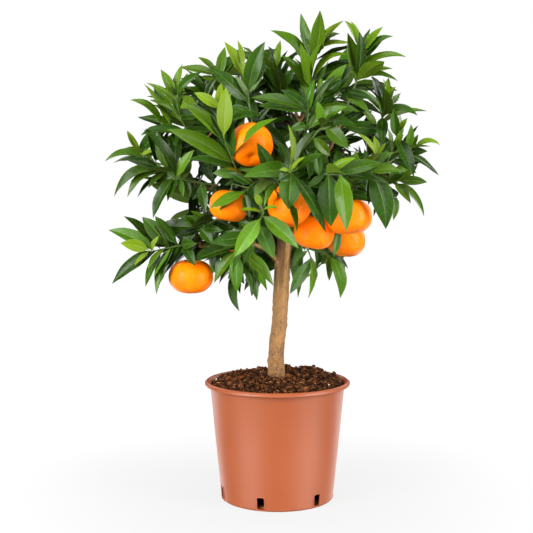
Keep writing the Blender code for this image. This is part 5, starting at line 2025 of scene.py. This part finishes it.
@dataclass
class Studio:
    """A white floor in a white room with soft boxes round it, and the camera at the photo's viewpoint."""

    lens_mm: float = 73.8
    pitch_degrees: float = 4.6
    floor_half: float = 9.0
    room_strength: float = 0.04
    # The floor's glow next to the pot, kept lower as a painted contact shadow.
    near_glow_painted_shadow: float = 0.84
    far_glow: float = 1.0
    floor_white: float = 0.05
    spot_spread_degrees: float = 4.0

    def build(self) -> None:
        """Set up floor, lights, room and camera."""
        scene = bpy.context.scene
        scene.view_settings.view_transform = "Standard"
        scene.view_settings.look = "None"
        self.build_floor()
        self.build_room()
        self.add_light("left_soft_box", (-1.49, -1.34, 0.75), (0.9, 1.8), 83.0, 0.35)
        self.add_light("right_soft_box", (1.71, -1.03, 0.75), (0.9, 1.8), 79.0, 0.35)
        self.add_light("front_soft_box", (-0.1, -2.2, 1.0), (1.6, 1.0), 16.0, 0.35)
        spot = self.add_light("trunk_spot", (-0.02, -2.2, 0.32), (0.08, 0.14), 0.065, 0.32)
        spot.spread = math.radians(self.spot_spread_degrees)
        self.add_light("top_soft_box", (0.1, -0.3, 2.2), (1.4, 1.4), 20.0, 0.45)
        self.add_light("floor_bounce", (0.0, -0.1, -0.03), (2.2, 2.2), 5.0, 0.4)
        self.add_light("rear_left_soft_box", (-1.2, 1.3, 1.1), (0.8, 1.5), 12.0, 0.4)
        self.add_light("rear_right_soft_box", (1.2, 1.3, 1.1), (0.8, 1.5), 12.0, 0.4)
        self.add_light("left_sheen_card", (-1.06, -0.82, -0.48), (1.1, 0.8), 9.5, 0.1, True)
        self.add_light("right_sheen_card", (1.17, -0.68, -0.48), (1.1, 0.8), 9.5, 0.1, True)
        self.add_light("rear_left_sheen_card", (-0.86, 1.23, -0.36), (0.9, 0.8), 5.0, 0.1, True)
        self.add_light("rear_right_sheen_card", (0.86, 1.23, -0.36), (0.9, 0.8), 5.0, 0.1, True)
        bpy.ops.object.camera_add(
            location=EYE_MM * MM, rotation=(math.radians(90.0 - self.pitch_degrees), 0.0, 0.0),
        )
        camera = bpy.context.object
        camera.name = "portrait_camera"
        camera.data.lens = self.lens_mm
        camera.data.sensor_width = 36.0
        camera.data.dof.use_dof = False
        scene.camera = camera

    def stage_glow(
        self, piece: bpy.types.Object, name: str, glow: float, white: float,
    ) -> bpy.types.Material:
        """Give a stage piece a white finish that glows, and keep its bounce light off the object.

        Args:
            piece: The floor or backdrop.
            name: The material's name.
            glow: How strongly it glows.
            white: How much light it sends back.

        Returns:
            The finish.
        """
        material, _, shader = new_material(name)
        shader.inputs["Base Color"].default_value = (white, white, white, 1.0)
        shader.inputs["Roughness"].default_value = 0.9
        shader.inputs["Specular IOR Level"].default_value = 0.0
        shader.inputs["Emission Color"].default_value = (1.0, 1.0, 1.0, 1.0)
        shader.inputs["Emission Strength"].default_value = glow
        piece.data.materials.append(material)
        piece.visible_diffuse = False
        piece.visible_glossy = False
        piece.visible_transmission = False
        piece.visible_shadow = False
        return material

    def build_floor(self) -> None:
        """Lay the white floor, which glows less near the pot as a painted contact shadow."""
        deselect_all()
        bpy.ops.mesh.primitive_plane_add(size=2.0 * self.floor_half)
        floor = bpy.context.object
        floor.name = "studio_floor"
        material = self.stage_glow(floor, "matt white studio floor", 1.0, self.floor_white)
        tree = material.node_tree
        place = add_node(tree, "ShaderNodeTexCoord")
        away = add_node(tree, "ShaderNodeVectorMath", {"operation": "LENGTH"}, {0: place.outputs["Object"]})
        # Painted shadow: the floor glows less near the pot, so that it looks shaded round the foot.
        glow = ramp_between(tree, away.outputs["Value"], 0.05, 0.7, self.near_glow_painted_shadow, self.far_glow)
        tree.links.new(glow, tree.nodes["Principled BSDF"].inputs["Emission Strength"])

    def build_room(self) -> None:
        """Put a white backdrop all round, and light the room evenly in white."""
        deselect_all()
        bpy.ops.mesh.primitive_uv_sphere_add(segments=48, ring_count=24, radius=self.floor_half)
        backdrop = bpy.context.object
        backdrop.name = "studio_backdrop"
        self.stage_glow(backdrop, "white backdrop paper", 1.0, 0.0)
        world = bpy.data.worlds.new("white room")
        bpy.context.scene.world = world
        world.use_nodes = True
        room = world.node_tree.nodes["Background"]
        room.inputs["Color"].default_value = (1.0, 1.0, 1.0, 1.0)
        room.inputs["Strength"].default_value = self.room_strength

    def add_light(
        self, name: str, place: tuple[float, float, float], size: tuple[float, float], power: float,
        aim_z: float, sheen_only: bool = False,
    ) -> bpy.types.AreaLight:
        """Hang one soft box that looks at the tree.

        Args:
            name: The light's name.
            place: Where it hangs.
            size: Its width and height.
            power: Its power in watts.
            aim_z: The height that it looks at.
            sheen_only: Whether it shows as sheen on smooth skins alone, like the bright floor.

        Returns:
            The light's data.
        """
        deselect_all()
        bpy.ops.object.light_add(type="AREA", location=place)
        light = bpy.context.object
        light.name = name
        light.data.shape = "RECTANGLE"
        light.data.size, light.data.size_y = size
        light.data.energy = power
        aim = Vector((0.0, 0.0, aim_z)) - Vector(place)
        light.rotation_euler = aim.to_track_quat("-Z", "Y").to_euler()
        light.visible_camera = False
        light.visible_diffuse = not sheen_only
        return light.data


def main() -> None:
    """Build every piece in order."""
    logging.basicConfig(level=logging.INFO, format="%(message)s")
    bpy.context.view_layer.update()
    Studio().build()
    mature = LeafFinish(
        "mature citrus leaf", "#0F2407", "#355C0B", "#668910", "#223608", "#48640F", "#6C8A18",
        "#647E28", "#708C34",
    ).make()
    young = LeafFinish(
        "young citrus leaf", "#4E6808", "#637A0A", "#5F7807", "#5C7010", "#627812", "#70861A",
        "#809230", "#8E9E40", roughness_upper=0.38, vein_share=0.12,
    ).make()
    stem = StemFinish("green citrus twig", "#3A5C1A", "#505E24").make()
    young_stem = StemFinish("young citrus twig", "#627C16", "#5C7022").make()
    bark = BarkFinish("young citrus bark", "#926935", "#7B552B", "#48331B", "#B18A50", "#5B4121").make()
    peel = PeelFinish("ripe mandarin peel", "#FF7000", "#FF8400", "#8A5A1E").make()
    mix = SoilFinish("peat and bark potting mix", "#090301", "#744424", "#C8965F").make()
    flecks = SoilFinish("perlite flecks", "#A08A5C", "#CDB98C", "#D8C99F").make()
    plastic = PotFinish("terracotta coloured polypropylene, moulded", "#8E4521", "#944C27").make()
    Pot(plastic).build()
    Soil(mix, flecks).build(random.Random(SEED + 1))
    Trunk(bark).build()
    chance = random.Random(SEED + 2)
    for node in sorted(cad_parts):
        if node.startswith("mandarin_"):
            Mandarin(node, peel, stem).build(chance)
    Crown(mature, young, stem, young_stem).build(random.Random(SEED))


if __name__ == "__main__":
    main()
